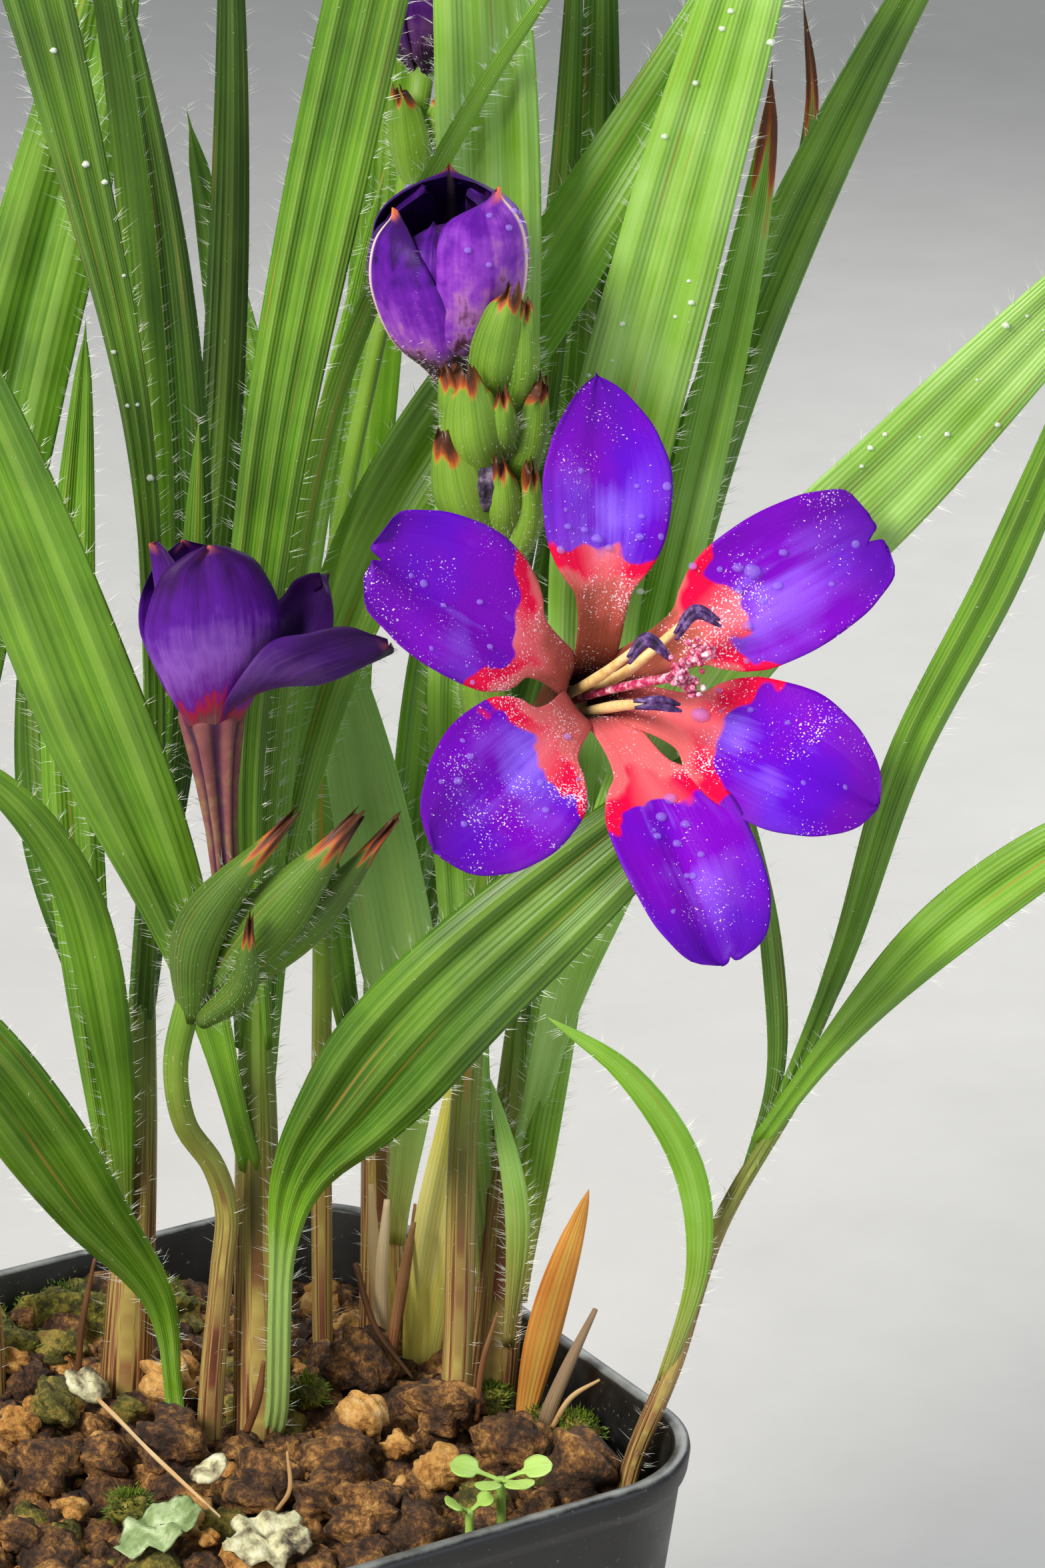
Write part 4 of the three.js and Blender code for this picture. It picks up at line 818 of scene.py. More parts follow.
def add_leaf(shells, path, width, turn=(0, 0), pleats=2, petiole=0.3, widest=0.5, tone=0.5, scorch=0.0,
             hairy=1.0, stain=1.0, beads=0, start=0.05, pale=0.0, relief=1.0):
    """A pleated blade with thin, gently rippled margins, and the roots of its hairs"""
    length = path_length(path)
    s, line, along, side, normal = spine(path, max(24, int(length / LEAF_ROW)), turn)
    u = np.linspace(-1, 1, 8 * pleats + 5)
    half = width / 2 * leaf_outline(s, petiole, widest, start)
    crest = relief * np.arcsin(-0.9 * np.cos(math.pi * pleats * (u + 1))) / math.asin(0.9)
    phase = shells.random.uniform(0, 6.3, 4)
    ripple = sum(np.sin((5 + 7 * k) * s + phase[k] + u * 1.4) / (k + 1) for k in range(3))
    fold = half * (PLEAT * crest + KEEL * np.abs(u)) + 0.16 * ripple * u ** 2 * (half > 1)
    middle = line + side * (u * half)[..., None] + normal * fold[..., None]
    thick = LEAF_THICKNESS * (1 - 0.72 * np.abs(u) ** 4) * (1 - 0.6 * ease(0.8, 1, s))
    rings = sheet(middle, normal, thick)
    shells.loft(rings, across=u * pleats / 2, along=s * length / 50, tone=tone + pale * ease(0.42, 0.05, s),
                crest=crest, scorch=scorch * ease(0.86, 0.98, s + 0.03 * np.sin(5 * u + phase[3])),
                stain=stain * ease(*LEAF_STAIN, line[..., 2]) * 0.8)
    long, many = MARGIN_HAIRS
    for edge, way in MARGINS:
        shells.hairs(middle[:, [edge]], (side * way + 0.7 * along + 0.2 * normal) * long,
                     int(length * many * hairy))
    long, many = RIDGE_HAIRS
    ridges = np.flatnonzero(crest > 0.95 * relief)
    shells.hairs(rings[:, ridges], (normal + 0.5 * along) * long, int(length * many * hairy))
    for _ in range(beads):
        row, column = shells.random.integers(len(s) // 3, len(s) - 3), shells.random.integers(1, len(u) - 1)
        shells.beads.append((rings[row, column], shells.random.uniform(*BEAD_RADII)))


def add_stem(shells, path, radii, tone=0.5, hairy=1.0):
    """A sheathed stem: ribbed, stained towards its foot and hairy"""
    stations = 6 * len(path)
    height = smooth_path(path, stations)[:, 2:]
    rings = shells.tube(path, radii, 14, stations, flat=0.86, tone=tone, crest=0.2,
                        along=np.linspace(0, 2, stations)[:, None], stain=ease(*STEM_STAIN, height))
    above = rings[:, 0, 2] > SOIL_LEVEL + 2
    out = unit(rings - rings.mean(1, keepdims=True))[above]
    long, many = STEM_HAIRS
    shells.hairs(rings[above], out * long + [0, 0, 0.45], int(path_length(path) * many * hairy))


# Bracts: green boats with a torn, burnt tip. Each has its midline, half width and turn.

MAIN_STEM = [[20.8, 8.2, 62], [22.6, 8.4, 76], [23.6, 8.6, 104], [25.4, 5, 128], [26.6, 2, 146],
             [26.6, 0.6, 160], [27.4, -1, 172], [28, -2, 179]]
MAIN_BRACTS = [
    ([[27.2, -1.4, 174], [26.3, -4.6, 178.4], [27.8, -5.6, 185.6]], 2.0, -6),
    ([[28, -1.8, 173.4], [29.2, -4, 178], [29.2, -4.6, 184]], 1.4, 20),
    ([[27, -1, 168.5], [23.8, -4.4, 172.6], [22.6, -5, 178.4]], 2.1, -24),
    ([[27, -1, 167], [24.8, -5.4, 172], [24.2, -6, 178.6]], 2.5, -6),
    ([[27.4, -1.2, 169], [27.4, -4.8, 173], [27.1, -5.2, 176.8]], 1.3, 10),
    ([[26.6, -0.2, 160.6], [23.4, -4, 166.4], [22.4, -4.8, 172.6]], 2.5, -20),
    ([[27, -0.4, 161.6], [27.4, -4.2, 166], [27.1, -4.8, 170.4]], 1.45, 0),
    ([[27.4, -0.6, 165.4], [30, -2.8, 170.6], [30.6, -3.2, 177]], 1.6, 34),
    ([[27.4, 0.2, 159], [29.6, -3.2, 164], [29.7, -3.8, 169.8]], 1.2, 20),
    ([[26.6, 1.8, 141], [25, 0, 146], [24.4, -0.8, 152]], 2.3, -30),
    ([[26.4, 2.2, 136], [29.8, 2, 139.4], [32.4, -0.4, 143]], 1.9, 10),
]
LEFT_STEM = [[-0.4, 4.8, 62], [0, 5, 76], [1.4, 4.4, 91], [2, 4, 97], [1, 2, 102.5], [-1.3, -1, 108],
             [-1.8, -3.4, 115], [0, -5.2, 123], [1.2, -5.6, 129]]
LEFT_BRACTS = [
    ([[-0.4, -5.4, 119.6], [0.6, -8.4, 129], [9.2, -9.8, 140.6]], 2.1, -10),
    ([[2, -5.8, 123], [7.4, -8.4, 130.4], [14.8, -8.8, 140.2]], 2.6, 0),
    ([[1, -5.4, 121.4], [10, -5.8, 128.4], [17.8, -7, 139]], 1.9, 10),
    ([[0.6, -6, 119.6], [4.4, -8.8, 124], [5.4, -10.4, 131.4]], 1.3, 0),
]
BACK_STEM = [[9.7, 25, 64], [9.6, 26.6, 76], [10, 27, 110], [11.4, 23.4, 150], [18, 22, 184], [20.2, 22, 199]]
BACK_BRACTS = [
    ([[19.4, 21.6, 187], [18.6, 19.6, 192], [18.2, 19, 197]], 1.8, -20),
    ([[19.4, 22, 187], [21.6, 21, 192], [22.6, 20.6, 197]], 1.6, 30),
]
BRACT_CUP = 0.62
BRACT_THICKNESS = 0.48
BRACT_ROWS, BRACT_COLUMNS = 22, 15
BRACT_BACK_HAIRS, BRACT_MARGIN_HAIRS = 260, 60
# A bract's half width along its length, as shares of both
BROAD = [(0, 0.55), (0.25, 0.96), (0.55, 1.08), (0.8, 0.88), (0.93, 0.58), (1, 0.3)]
SLENDER = [(0, 0.6), (0.2, 0.95), (0.42, 1.08), (0.66, 0.74), (0.82, 0.42), (1, 0.2)]
# Spikes: each has its name, stem and bracts, the stem's radii and what sets its bracts apart
SPIKES = [
    ("main", MAIN_STEM, MAIN_BRACTS, [1.4, 1.4, 1.4, 1.3, 1.3, 1.3, 1.2, 1], {}),
    ("left", LEFT_STEM, LEFT_BRACTS, [1.2, 1.2, 1.2, 1.1, 1.1, 1.1, 1.1, 1.2, 1.3],
     dict(tone=0.16, shape=SLENDER, dry=0.74, burn=1.6)),
    ("back", BACK_STEM, BACK_BRACTS, [1, 1, 0.9, 0.8, 0.8, 1.1], {}),
]


def add_bract(shells, path, half, turn, tone=0.42, shape=BROAD, dry=0.84, burn=1.0):
    """A hollow boat with its back to the viewer, hairy, and torn into points at its burnt tip"""
    s, line, along, side, normal = spine(path, BRACT_ROWS, (turn, turn))
    u = np.linspace(-1, 1, BRACT_COLUMNS)
    wide = half * curve_through(shape, s)
    torn = ease(0.84, 1, s) * (1.3 * np.abs(np.sin(2.6 * u + half * 9)) - 0.5 + 0.35 * np.sin(15 * u + half))
    curl = ease(0.8, 1, s) * 0.5 * np.sin(5 * u + 3 * half)
    middle = (line + side * (u * wide)[..., None] + normal * (curl - BRACT_CUP * wide * u ** 2)[..., None]
              + along * torn[..., None])
    thick = BRACT_THICKNESS * (1 - 0.6 * u ** 4) * (1 - 0.6 * ease(0.7, 1, s))
    shells.loft(sheet(middle, normal, thick), across=u, along=s * 0.2, tone=tone, crest=0.15,
                scorch=burn * ease(dry, 1.02, s + 0.04 * np.sin(7 * u + half * 5)))
    low = slice(1, 16)
    shells.hairs(middle[low], (normal + 0.45 * along)[low] * 0.42, BRACT_BACK_HAIRS)
    for edge, way in MARGINS:
        shells.hairs(middle[low, [edge]], (side * way + 0.4 * along)[low] * 0.8, BRACT_MARGIN_HAIRS)


# Tepals

def add_tepal(shells, where, profile, outline, bearing, cup, rows, across, tone=0.5, ripple=0.0, notch=0.0,
              notch_at=0.0, hook=0.0, keel=0.0, scorch=0.0, thickness=0.34, wet=False, roll=0.0, dark=0.0):
    """A tepal on its profile of distances from the axis and heights, with rippled margins, a notch or
    a hooked point at its tip, and its upper face marked for drops. Returns its upper face"""
    line = smooth_path([(out, 0, up) for out, up in profile], rows)[:, None]
    s = np.linspace(0, 1, rows)[:, None]
    u = np.linspace(1, -1, across)
    along = unit(np.gradient(line, axis=0))
    rise = np.stack([-along[..., 2], 0 * s, along[..., 0]], axis=-1)
    lean, level = np.radians(roll) * ease(0.1, 0.5, s)[..., None], np.array([0, 1, 0])
    side, normal = level * np.cos(lean) + rise * np.sin(lean), rise * np.cos(lean) - level * np.sin(lean)
    half = curve_through(outline, s)
    phase = shells.random.uniform(0, 6.3, 3)
    near_tip, blade = ease(0.8, 1, s), ease(0.35, 0.6, s)
    waves = sum(np.sin((9 + 8 * k) * s + 1.8 * u * (k + 1) + phase[k]) / (k + 1) for k in range(3))
    folds = (1.1 * np.sin(4.6 * u + 3 * s + phase[0]) - 0.8 * bump(u, 0.2)
             + 0.5 * np.sin(9 * u + 5 * s + phase[1]))
    lift = (cup * half * u ** 2 + ripple * (u ** 2 * waves * ease(0.3, 0.6, s) + folds * blade)
            + 0.3 * notch * near_tip * np.sin(4.2 * (u - notch_at)))
    back = notch * near_tip * bump(u - notch_at, 0.17) + 0.02 * half * u ** 2
    point = hook * ease(0.93, 1, s) * bump(u, 0.25)
    middle = (line + side * (u * half)[..., None] + normal * lift[..., None]
              - along * (back - point)[..., None])
    thick = thickness * (1 - 0.7 * np.abs(u) ** 5) * (1 - 0.5 * ease(0.75, 1, s))
    rings = where(turned(sheet(middle, normal, thick), bearing))
    blobs = np.clip(np.sin(7 * s + phase[0]) * np.sin(3.1 * u + phase[1]) + 0.35, 0, 1) ** 2
    face = np.where((s > 0.36) & (s < 0.96), blobs, 0)
    shells.loft(rings, across=u, along=s, tone=tone, crest=keel,
                scorch=scorch * ease(0.955, 1, s) * bump(u, 0.35),
                stain=np.hstack([face, 0 * face]) if wet else dark)
    return rings[:, :across]


# Blooms and buds: where each one's mouth is, and how its axis is turned and rises, in degrees
OPEN_BLOOM = dict(at=(35, -10, 152), turn=25, lift=28)
OPEN_ROWS, OPEN_COLUMNS = 64, 29
THROAT_FLOOR = -6
# Open tepals: each has its length, half width, how pointed it is, and what sets it apart
OPEN_TEPALS = [
    (26.8, 5.9, 1.7, dict(bearing=86, ripple=0.10, hook=0.3)),
    (28, 6.3, 1, dict(bearing=20, ripple=0.22, notch=1.3, notch_at=-0.3)),
    (25.8, 6.5, 1.3, dict(bearing=-37, ripple=0.14, keel=0.55)),
    (27.2, 6.3, 0.75, dict(bearing=-84, ripple=0.22, notch=0.5, notch_at=0.3, keel=0.9)),
    (26, 6.8, 1, dict(bearing=-150, ripple=0.14, keel=0.5)),
    (26.6, 6.6, 1, dict(bearing=150, ripple=0.2, notch=1.2, notch_at=-0.15, keel=0.2)),
]
# Stamens: each has its filament's path, and its anther's
STAMENS = [
    ([[0.85, 0.71, -5.6], [2, 0.9, 3.4], [6.2, 4.1, 9.5]],
     [[4.4, 2.4, 8.4], [6.2, 4.1, 9.5], [8.4, 2.9, 9.2]]),
    ([[-1.03, 0.38, -5.6], [-0.4, 0.9, 3.4], [1, 2.3, 10.1]],
     [[-0.7, 0.9, 9.3], [1, 2.3, 10.1], [2.9, 0.6, 9.8]]),
    ([[0.19, -1.08, -5.6], [0.6, -2, 3.4], [0.9, -3.1, 10.1]],
     [[-1, -2.8, 9.3], [0.9, -3.1, 10.1], [3, -3.7, 9.6]]),
]
# Where the style's three frilled branches end
STYLE_TIPS = [[2.9, -1, 11], [5.6, 0.6, 10.4], [4.2, -2.2, 10]]

BUD = dict(at=(22.6, 1.8, 178), turn=0, lift=86)
BUD_STALK = [[3, -0.4, -4.4], [1.2, 0, -3.2], [0, 0, -1.6]]
BACK_BUD = dict(at=(20.2, 22, 200), turn=0, lift=86)
BACK_STALK = [[0, 0, -1.4], [0, 0, -0.6], [0, 0, 0.4]]
# The outside of a bud: radius and height
BUD_PROFILE = [(0.75, -2.5), (1.7, -1.2), (3.9, 1.4), (5.8, 5.4), (6.5, 10), (5.9, 14), (4, 16.6)]
SIDE_BLOOM = dict(at=(2.2, -6.2, 149), turn=-51, lift=86)
# Tepals of the side bloom: each has its half width and what sets it apart
SIDE_TEPALS = [
    (5.9, dict(bearing=-22, profile=[(2, -1), (3.3, 1.4), (4.7, 5.6), (5.2, 11), (4.3, 16.4)], tone=0.7,
               notch=0.6, notch_at=-0.4)),
    (4.2, dict(bearing=-106, profile=[(2, -1), (2.7, 1.4), (3.2, 5.6), (3.6, 11), (3.8, 16)], tone=0.4)),
    (5, dict(bearing=168, profile=[(2, -1), (2.9, 1.4), (3.5, 5.6), (3.8, 10), (3.4, 14.4)], tone=0.3)),
    (3.8, dict(bearing=58, profile=[(2, -1), (3.4, 1.2), (6.6, 3.8), (9.4, 7.4), (10.6, 11.4)], tone=0.2,
               notch=1.4, notch_at=0.4, roll=30, dark=0.85)),
    (4.4, dict(bearing=26, profile=[(2, -1), (3.6, 1.4), (8.2, 3.8), (12.8, 6), (17.6, 8)], tone=0.3,
               roll=-45, dark=0.6)),
]


# Pot and soil

# The pot's profile from inside its floor, over the rim and back: height, and how far in it lies
POT_PROFILE = [
    (1.4, 5.2), (0.3, 5), (0, 4.8), (0, 0.8), (0.3, 0.2), (1, 0), (20, 0), (40, 0), (60, 0), (76.4, 0),
    (77, -0.12), (77.3, -0.4), (77.8, -0.5), (79.3, -0.5), (79.75, -0.35), (79.97, 0.05), (80, 0.5),
    (79.9, 0.9), (79.5, 1.1), (60, 1.1), (30, 1.1), (4.4, 1.1), (3.3, 1.5), (3, 2.6),
]
# The raised pad in the middle of the base: radius and height
BASE_PAD = [(8.73, 0), (9, 0.3), (9, 1.6)]
DRAIN_RADIUS = 2.4
DRAIN_SPREAD = 14
DRILL_ENDS = (-1, 5)
# How far the soil and the stones on it stay from the wall, and levels of the soil's side
SOIL_GAP = 0.3
STONE_GAP = 0.2
SOIL_SIDE = [3.3, 30, 60, SOIL_LEVEL - 1.5]
# The rings of the soil's top from the wall to the middle, as shares of the first, and how far out clods lie
SOIL_RINGS = np.r_[1, 0.985, np.linspace(0.955, 0.02, 42)]
CLOD_REACH = 0.95
# How high the soil is heaped under a cushion, and where several meet
HEAP, HEAP_LIMIT = 3.4, 4.2
LUMP_WAVES = 5
# Cushions that heap up to the rim at the back left, in the row frame: centre, radius
MOSS_CUSHIONS = [(-28, 27, 5.6), (-18.5, 29.6, 5.8), (-8.5, 29.8, 6), (1, 29.8, 6), (9, 30, 5),
                 (-29.6, 15, 5)]
# Small tufts, in the plants' frame: place, radius
MOSS_TUFTS = [(34, 4.4, 74.2, 2.4), (31, 6, 74, 2.2), (8.7, 11.4, 75, 2), (-6.4, -11, 74.6, 2),
              (26, 11, 74.4, 1.8)]


def side_at(z):
    """The pot's outer width at a height"""
    return POT_BASE_SIDE + (POT_SIDE - POT_BASE_SIDE) * z / POT_HEIGHT


def rounded_square(z, inset, shrink=1.0):
    """128 points on the pot's rounded square at a height, moved in by the inset"""
    corner = POT_CORNER - inset
    reach = side_at(z) / 2 - inset - corner
    quarter = np.linspace(0, math.pi / 2, 24)
    arc = np.stack([reach + corner * np.cos(quarter), reach + corner * np.sin(quarter), 0 * quarter], 1)
    flat = np.linspace(arc[-1], arc[-1] * [-1, 1, 1], 10)[1:-1]
    return np.vstack([turned(np.vstack([arc, flat]), 90 * k) for k in range(4)]) * shrink + [0, 0, z]


def ground_height(x, y):
    """How high the soil lies under its clods: level, with hollows, and heaped up to the cushions"""
    ripple = 0.5 * np.sin(x * 0.31 + 1.3) * np.cos(y * 0.27) + 0.35 * np.sin(x * 0.83 - y * 0.61 + 0.5)
    heap = sum(HEAP * bump(np.hypot(x - cx, y - cy), r * 1.1) for cx, cy, r in MOSS_CUSHIONS)
    return SOIL_LEVEL - 0.5 + ripple + np.minimum(heap, HEAP_LIMIT)


def soil_shells():
    """The soil's body, from the pot's floor to its uneven top, marked where clods may lie"""
    shells = Shells(turn=0)
    rings = [rounded_square(z, POT_WALL + SOIL_GAP) for z in SOIL_SIDE]
    for shrink in SOIL_RINGS:
        level = rounded_square(SOIL_LEVEL, POT_WALL + SOIL_GAP, shrink)
        level[:, 2] = ground_height(level[:, 0], level[:, 1])
        rings.append(level)
    shells.loft(rings, stain=np.r_[0 * np.array(SOIL_SIDE), SOIL_RINGS < CLOD_REACH][:, None], tone=0.3)
    return shells


def inside_pot(points, turn):
    """Holds points that lie on the soil within the pot's rounded wall"""
    placed = turned(points, turn)
    corner = POT_CORNER - POT_WALL
    reach = side_at(placed[..., 2:]) / 2 - POT_WALL - STONE_GAP - corner
    square = np.clip(placed[..., :2], -reach, reach)
    away = placed[..., :2] - square
    far = np.maximum(np.linalg.norm(away, axis=-1, keepdims=True), corner)
    return turned(np.concatenate([square + away * corner / far, placed[..., 2:]], axis=-1), -turn)


def lump(shells, at, radius, flat, rough, detail, tone=0.5, hairs=0, length=1.0, potted=False):
    """A seeded stone, crumb, drop or cushion made of rings"""
    way = np.stack([ring(math.sin(polar), math.cos(polar), 2 * detail)
                    for polar in np.linspace(0.06, math.pi - 0.06, detail)])
    shift = shells.random.uniform(0, 9, (LUMP_WAVES, 3))
    swell = sum(np.sin((1.6 + 1.3 * k) * (way * shift[k] / 3).sum(-1) + shift[k, 0]) / (k + 1.2)
                for k in range(LUMP_WAVES))
    points = way * radius * (1 + rough * swell)[..., None] * [1, 1, flat] + at
    if potted:
        points = inside_pot(points, shells.turn)
    shells.loft(points, tone=tone, stain=1.0)
    if hairs:
        upper = way[..., 2] > -0.1
        shells.hairs(points[upper], way[upper] * length, hairs)


# Stones that stand out among the clods, in the plants' frame: place, radius and tone in the grit
STONES = [
    (-19.3, 17, 75.6, 1.6, 0.85), (-17.7, 3.6, 75.6, 1.9, 0.86), (-15.2, 20, 75.6, 2.4, 0.95),
    (-14.8, 7, 75.8, 2.3, 0.96), (-7.8, 8, 75.2, 1.4, 0.94), (-4.1, 12, 76.2, 2.6, 0.88),
    (-14.5, -4, 75.4, 2.9, 0.5), (-9.6, -2, 75.2, 2.4, 0.6), (-11.4, -10.8, 74.8, 1.3, 0.87),
    (-1.5, -14, 75, 1.8, 0.86), (-3.4, 0, 75.8, 3.4, 0.2), (5.3, -8, 75.4, 3.2, 0.45),
    (1, -16.4, 74.6, 0.9, 0.84), (13.4, 15.6, 76, 3.6, 0.15), (14.4, 5, 76.2, 2.3, 0.86),
    (21.5, 7, 76, 3.3, 0.35), (12.3, -2, 75.4, 3.2, 0.4), (21.3, -4, 75.2, 2.1, 0.9),
    (17.4, 0.8, 75, 1.4, 0.85), (28.2, 1, 75.4, 3.3, 0.25), (34.2, -3.4, 75.2, 3.4, 0.18),
    (15.2, -13, 75.2, 3.5, 0.3), (19.6, -15, 74.8, 2.6, 0.4), (10.7, -9.5, 75, 2.6, 0.55),
    (-15.7, -16, 74.8, 2.1, 0.6), (-20.5, -8, 75, 2.2, 0.85), (-26, -2, 75, 2.6, 0.4),
]
# Dry straws on the soil, in the plants' frame: path, radius and tone
STRAWS = [
    ([[-10.4, 5.4, 77.4], [-8, 1.6, 77], [-4.4, -6, 77.4], [-0.6, -11.4, 76.6], [2, -15, 76]], 0.28, 0.8),
    ([[15.4, 20, 74], [15, 20.6, 82], [14.6, 21.4, 92]], 0.55, 0.75),
    ([[16.6, 18.4, 76], [18, 18.6, 84], [18.8, 19, 91]], 0.3, 0.35),
    ([[13.2, 16.6, 86], [15, 15.4, 80], [18.6, 14.4, 75]], 0.3, 0.15),
    ([[24.6, 5.8, 75], [25.2, 5.6, 81], [26.6, 6, 86]], 0.24, 0.4),
    ([[31.6, 4.2, 75], [33.4, 3.8, 78.4], [36, 3.4, 80.4]], 0.26, 0.7),
    ([[3.4, 3.4, 75], [4.6, 2.4, 79], [5.2, 2, 83]], 0.36, 0.3),
    ([[-13, 14, 75], [-12.4, 13, 81], [-11, 13.4, 88]], 0.3, 0.2),
    ([[7, -14.6, 76.4], [8.2, -14.8, 78.6], [8, -14, 82]], 0.2, 0.6),
    ([[16.4, 15.6, 76], [17.2, 16.2, 82], [18.7, 16.6, 90.2]], 0.5, 0.42),
    ([[15.6, 17.4, 75], [15.6, 17.6, 84], [16.2, 17.8, 92]], 0.6, 0.85),
]
# Grit and fines between the clods: name, detail, and their sizes in the order of LUMP_SIZES
CRUMBS = [("soil_grit", 2, 8e5, 1.5, 0.5, 1.25, 0.85, 1.2, -0.5),
          ("soil_fines", 1, 4e6, 0.55, 0.16, 0.42, 0.9, 0.3, -0.6)]


def scattered(name, slot, mesh, material, seed, detail, density, spacing, least, most, flat, rough, sink):
    """Lumps scattered over a copy of a mesh, with their lengths given in millimetres"""
    sizes = (density, spacing * MM, least * MM, most * MM, flat, rough * MM, sink)
    return settle(grown(name, mesh.copy(), scatter_tree, Seed=seed, Detail=detail, Material=material,
                        **dict(zip(LUMP_SIZES, sizes))), slot)


# Chips of lichen and a scrap of leaf on the soil, in the plants' frame: place, reach, tilt, tone, thickness
# and raggedness
LICHEN_CHIPS = [((6.4, -18.6, 75.8), 4.0, -8, 0.5, 0.7, 0.3), ((0.6, -7.6, 76.8), 1.8, 22, 0.2, 0.9, 0.15),
                ((-11.8, 10.6, 76.2), 2.2, -20, 0.2, 1.2, 0.2)]
LEAF_SCRAP = ((-3.4, -17.2, 76.2), 3.8, 16, 0.5, 0.25, 0.22)
# A flake from its upper middle round its edge to its lower middle: shares of its reach and thickness
FLAKE_PROFILE = [(0.05, 0.5), (0.5, 0.62), (0.9, 0.4), (1, 0), (0.9, -0.4), (0.5, -0.3), (0.05, -0.3)]


def add_flake(shells, at, reach, tilt, tone, thick, ragged):
    """A thin chip with a ragged outline, lying on the soil"""
    angle = around(36)
    phase = shells.random.uniform(0, 6.3, 3)
    edge = 1 + ragged * (0.5 * np.sin(2 * angle + phase[0]) + 0.35 * np.sin(5 * angle + phase[1])
                         + 0.25 * np.sin(11 * angle + phase[2]))
    rings = []
    for share, height in FLAKE_PROFILE:
        x, y = (ring(edge * reach * share, 0, 36) * [1, 0.7, 1]).T[:2]
        wave = 0.12 * reach * np.sin(2.2 * x + 1.3 * y + phase[0])
        rings.append(np.stack([x, y, height * thick + wave + x * math.tan(math.radians(tilt)) + y * 0.35], 1))
    shells.loft(np.array(rings) + at, tone=tone, along=0.5)


# Buds

# Each wrap: bearing, half spread, how far it stands out, height of its tip, how far it closes in, tone,
# how blunt its top is and how deep its colour gets
BUD_WRAPS = [(-112, 44, 0.0, 0.84, 0.2, 0.3, 4, 1), (24, 52, 0.0, 0.95, 0.5, 0.4, 9, 1),
             (140, 44, 0.0, 0.95, 0.3, 0.2, 6, 1), (-158, 74, 0.7, 0.87, 0.0, 0.5, 2.0, 1.1),
             (-20, 78, 0.7, 0.98, 0.08, 0.8, 16, 0.66), (88, 84, 0.7, 1.03, 0.55, 0.4, 14, 1)]
BACK_WRAPS = [(-70, 52, 0.0, 1, 0.6, 0.3, 4, 1), (20, 52, 0.4, 1, 0.6, 0.5, 4, 1),
              (110, 52, 0.0, 1, 0.6, 0.2, 4, 1), (200, 52, 0.4, 1, 0.6, 0.4, 4, 1)]
WRAP_ROWS, WRAP_COLUMNS = 40, 21
WRAP_THICKNESS = 0.32
WRAP_KEEL_HAIRS, WRAP_BACK_HAIRS = 60, 110
# Drops near the rim of each wrap on the near side: how many, and their radii
RIM_DROPS, RIM_DROP_RADII = 12, (0.14, 0.34)
# A core within a bud, painted dark as the shade in its opening: radius and height
BUD_SHADED_CORE = [(0.9, 0, 0), (3.2, 0, 2.2), (4.6, 0, 6.5), (4.4, 0, 10), (2, 0, 12), (0.4, 0, 12.6)]


def add_wrap(shells, where, scale, shade, bearing, spread, out, top, close, tone, blunt, fade):
    """A tepal that wraps round a bud, rounded at its shoulders, with a hooked orange point if it
    stands out. Returns its outer face"""
    profile = smooth_path([(r * scale, 0, h * scale * (top if h > 6 else 1)) for r, h in BUD_PROFILE],
                          WRAP_ROWS)
    s = np.linspace(0, 1, WRAP_ROWS)[:, None]
    u = np.linspace(1, -1, WRAP_COLUMNS)
    shoulder = np.clip((s - 0.25) / 0.75, 0, 1) ** blunt
    narrow = np.sqrt(np.clip(1 - shoulder, 0.003, 1)) * (0.55 + 0.45 * ease(0, 0.25, s))
    pointed = 1.0 if out else 0.0
    angle = np.radians(bearing + u * spread * narrow)
    hook = pointed * ease(0.965, 1, s) * bump(u, 0.3)
    closing = 1 - close * np.clip((s - 0.7) / 0.3, 0, 1) ** 2.6
    radius = ((profile[:, :1] * closing + out * ease(0.1, 0.35, s)) * (1 - 0.05 * np.abs(u))
              + 0.16 * bump(u, 0.1) + 0.35 * hook)
    height = profile[:, 2:] + 0.4 * hook - 0.7 * np.abs(u) * s ** 3
    thick = WRAP_THICKNESS * (1 - 0.6 * np.abs(u) ** 4) * (1 - 0.5 * ease(0.8, 1, s))
    away = np.stack([np.cos(angle), np.sin(angle), 0 * angle], axis=-1)
    middle = away * radius[..., None] + [0, 0, 1] * height[..., None]
    rings = where(sheet(middle, away, thick))
    # The inner face is darkened by its stain as painted shade within the bud, giving way to its own colour
    # near the top
    inside = 0.9 - 0.8 * ease(0.76, 0.93, s)
    shells.loft(rings, across=u, along=fade * s, tone=tone, crest=0.9 * pointed,
                stain=np.hstack([np.full_like(radius, shade), inside + 0 * u]),
                scorch=pointed * ease(0.955, 0.985, s) * bump(u, 0.26))
    keel = rings[:, [WRAP_COLUMNS // 2]]
    way = unit(keel - where(profile * [0, 0, 1])[:, None])
    low, below = slice(2, 34), slice(1, 16)
    shells.hairs(keel[low], (way + [0, 0, 0.3])[low] * 0.5, WRAP_KEEL_HAIRS)
    shells.hairs(rings[below, :WRAP_COLUMNS], (way[below] + [0, 0, -0.1]) * 0.4, WRAP_BACK_HAIRS)
    return rings[:, :WRAP_COLUMNS]


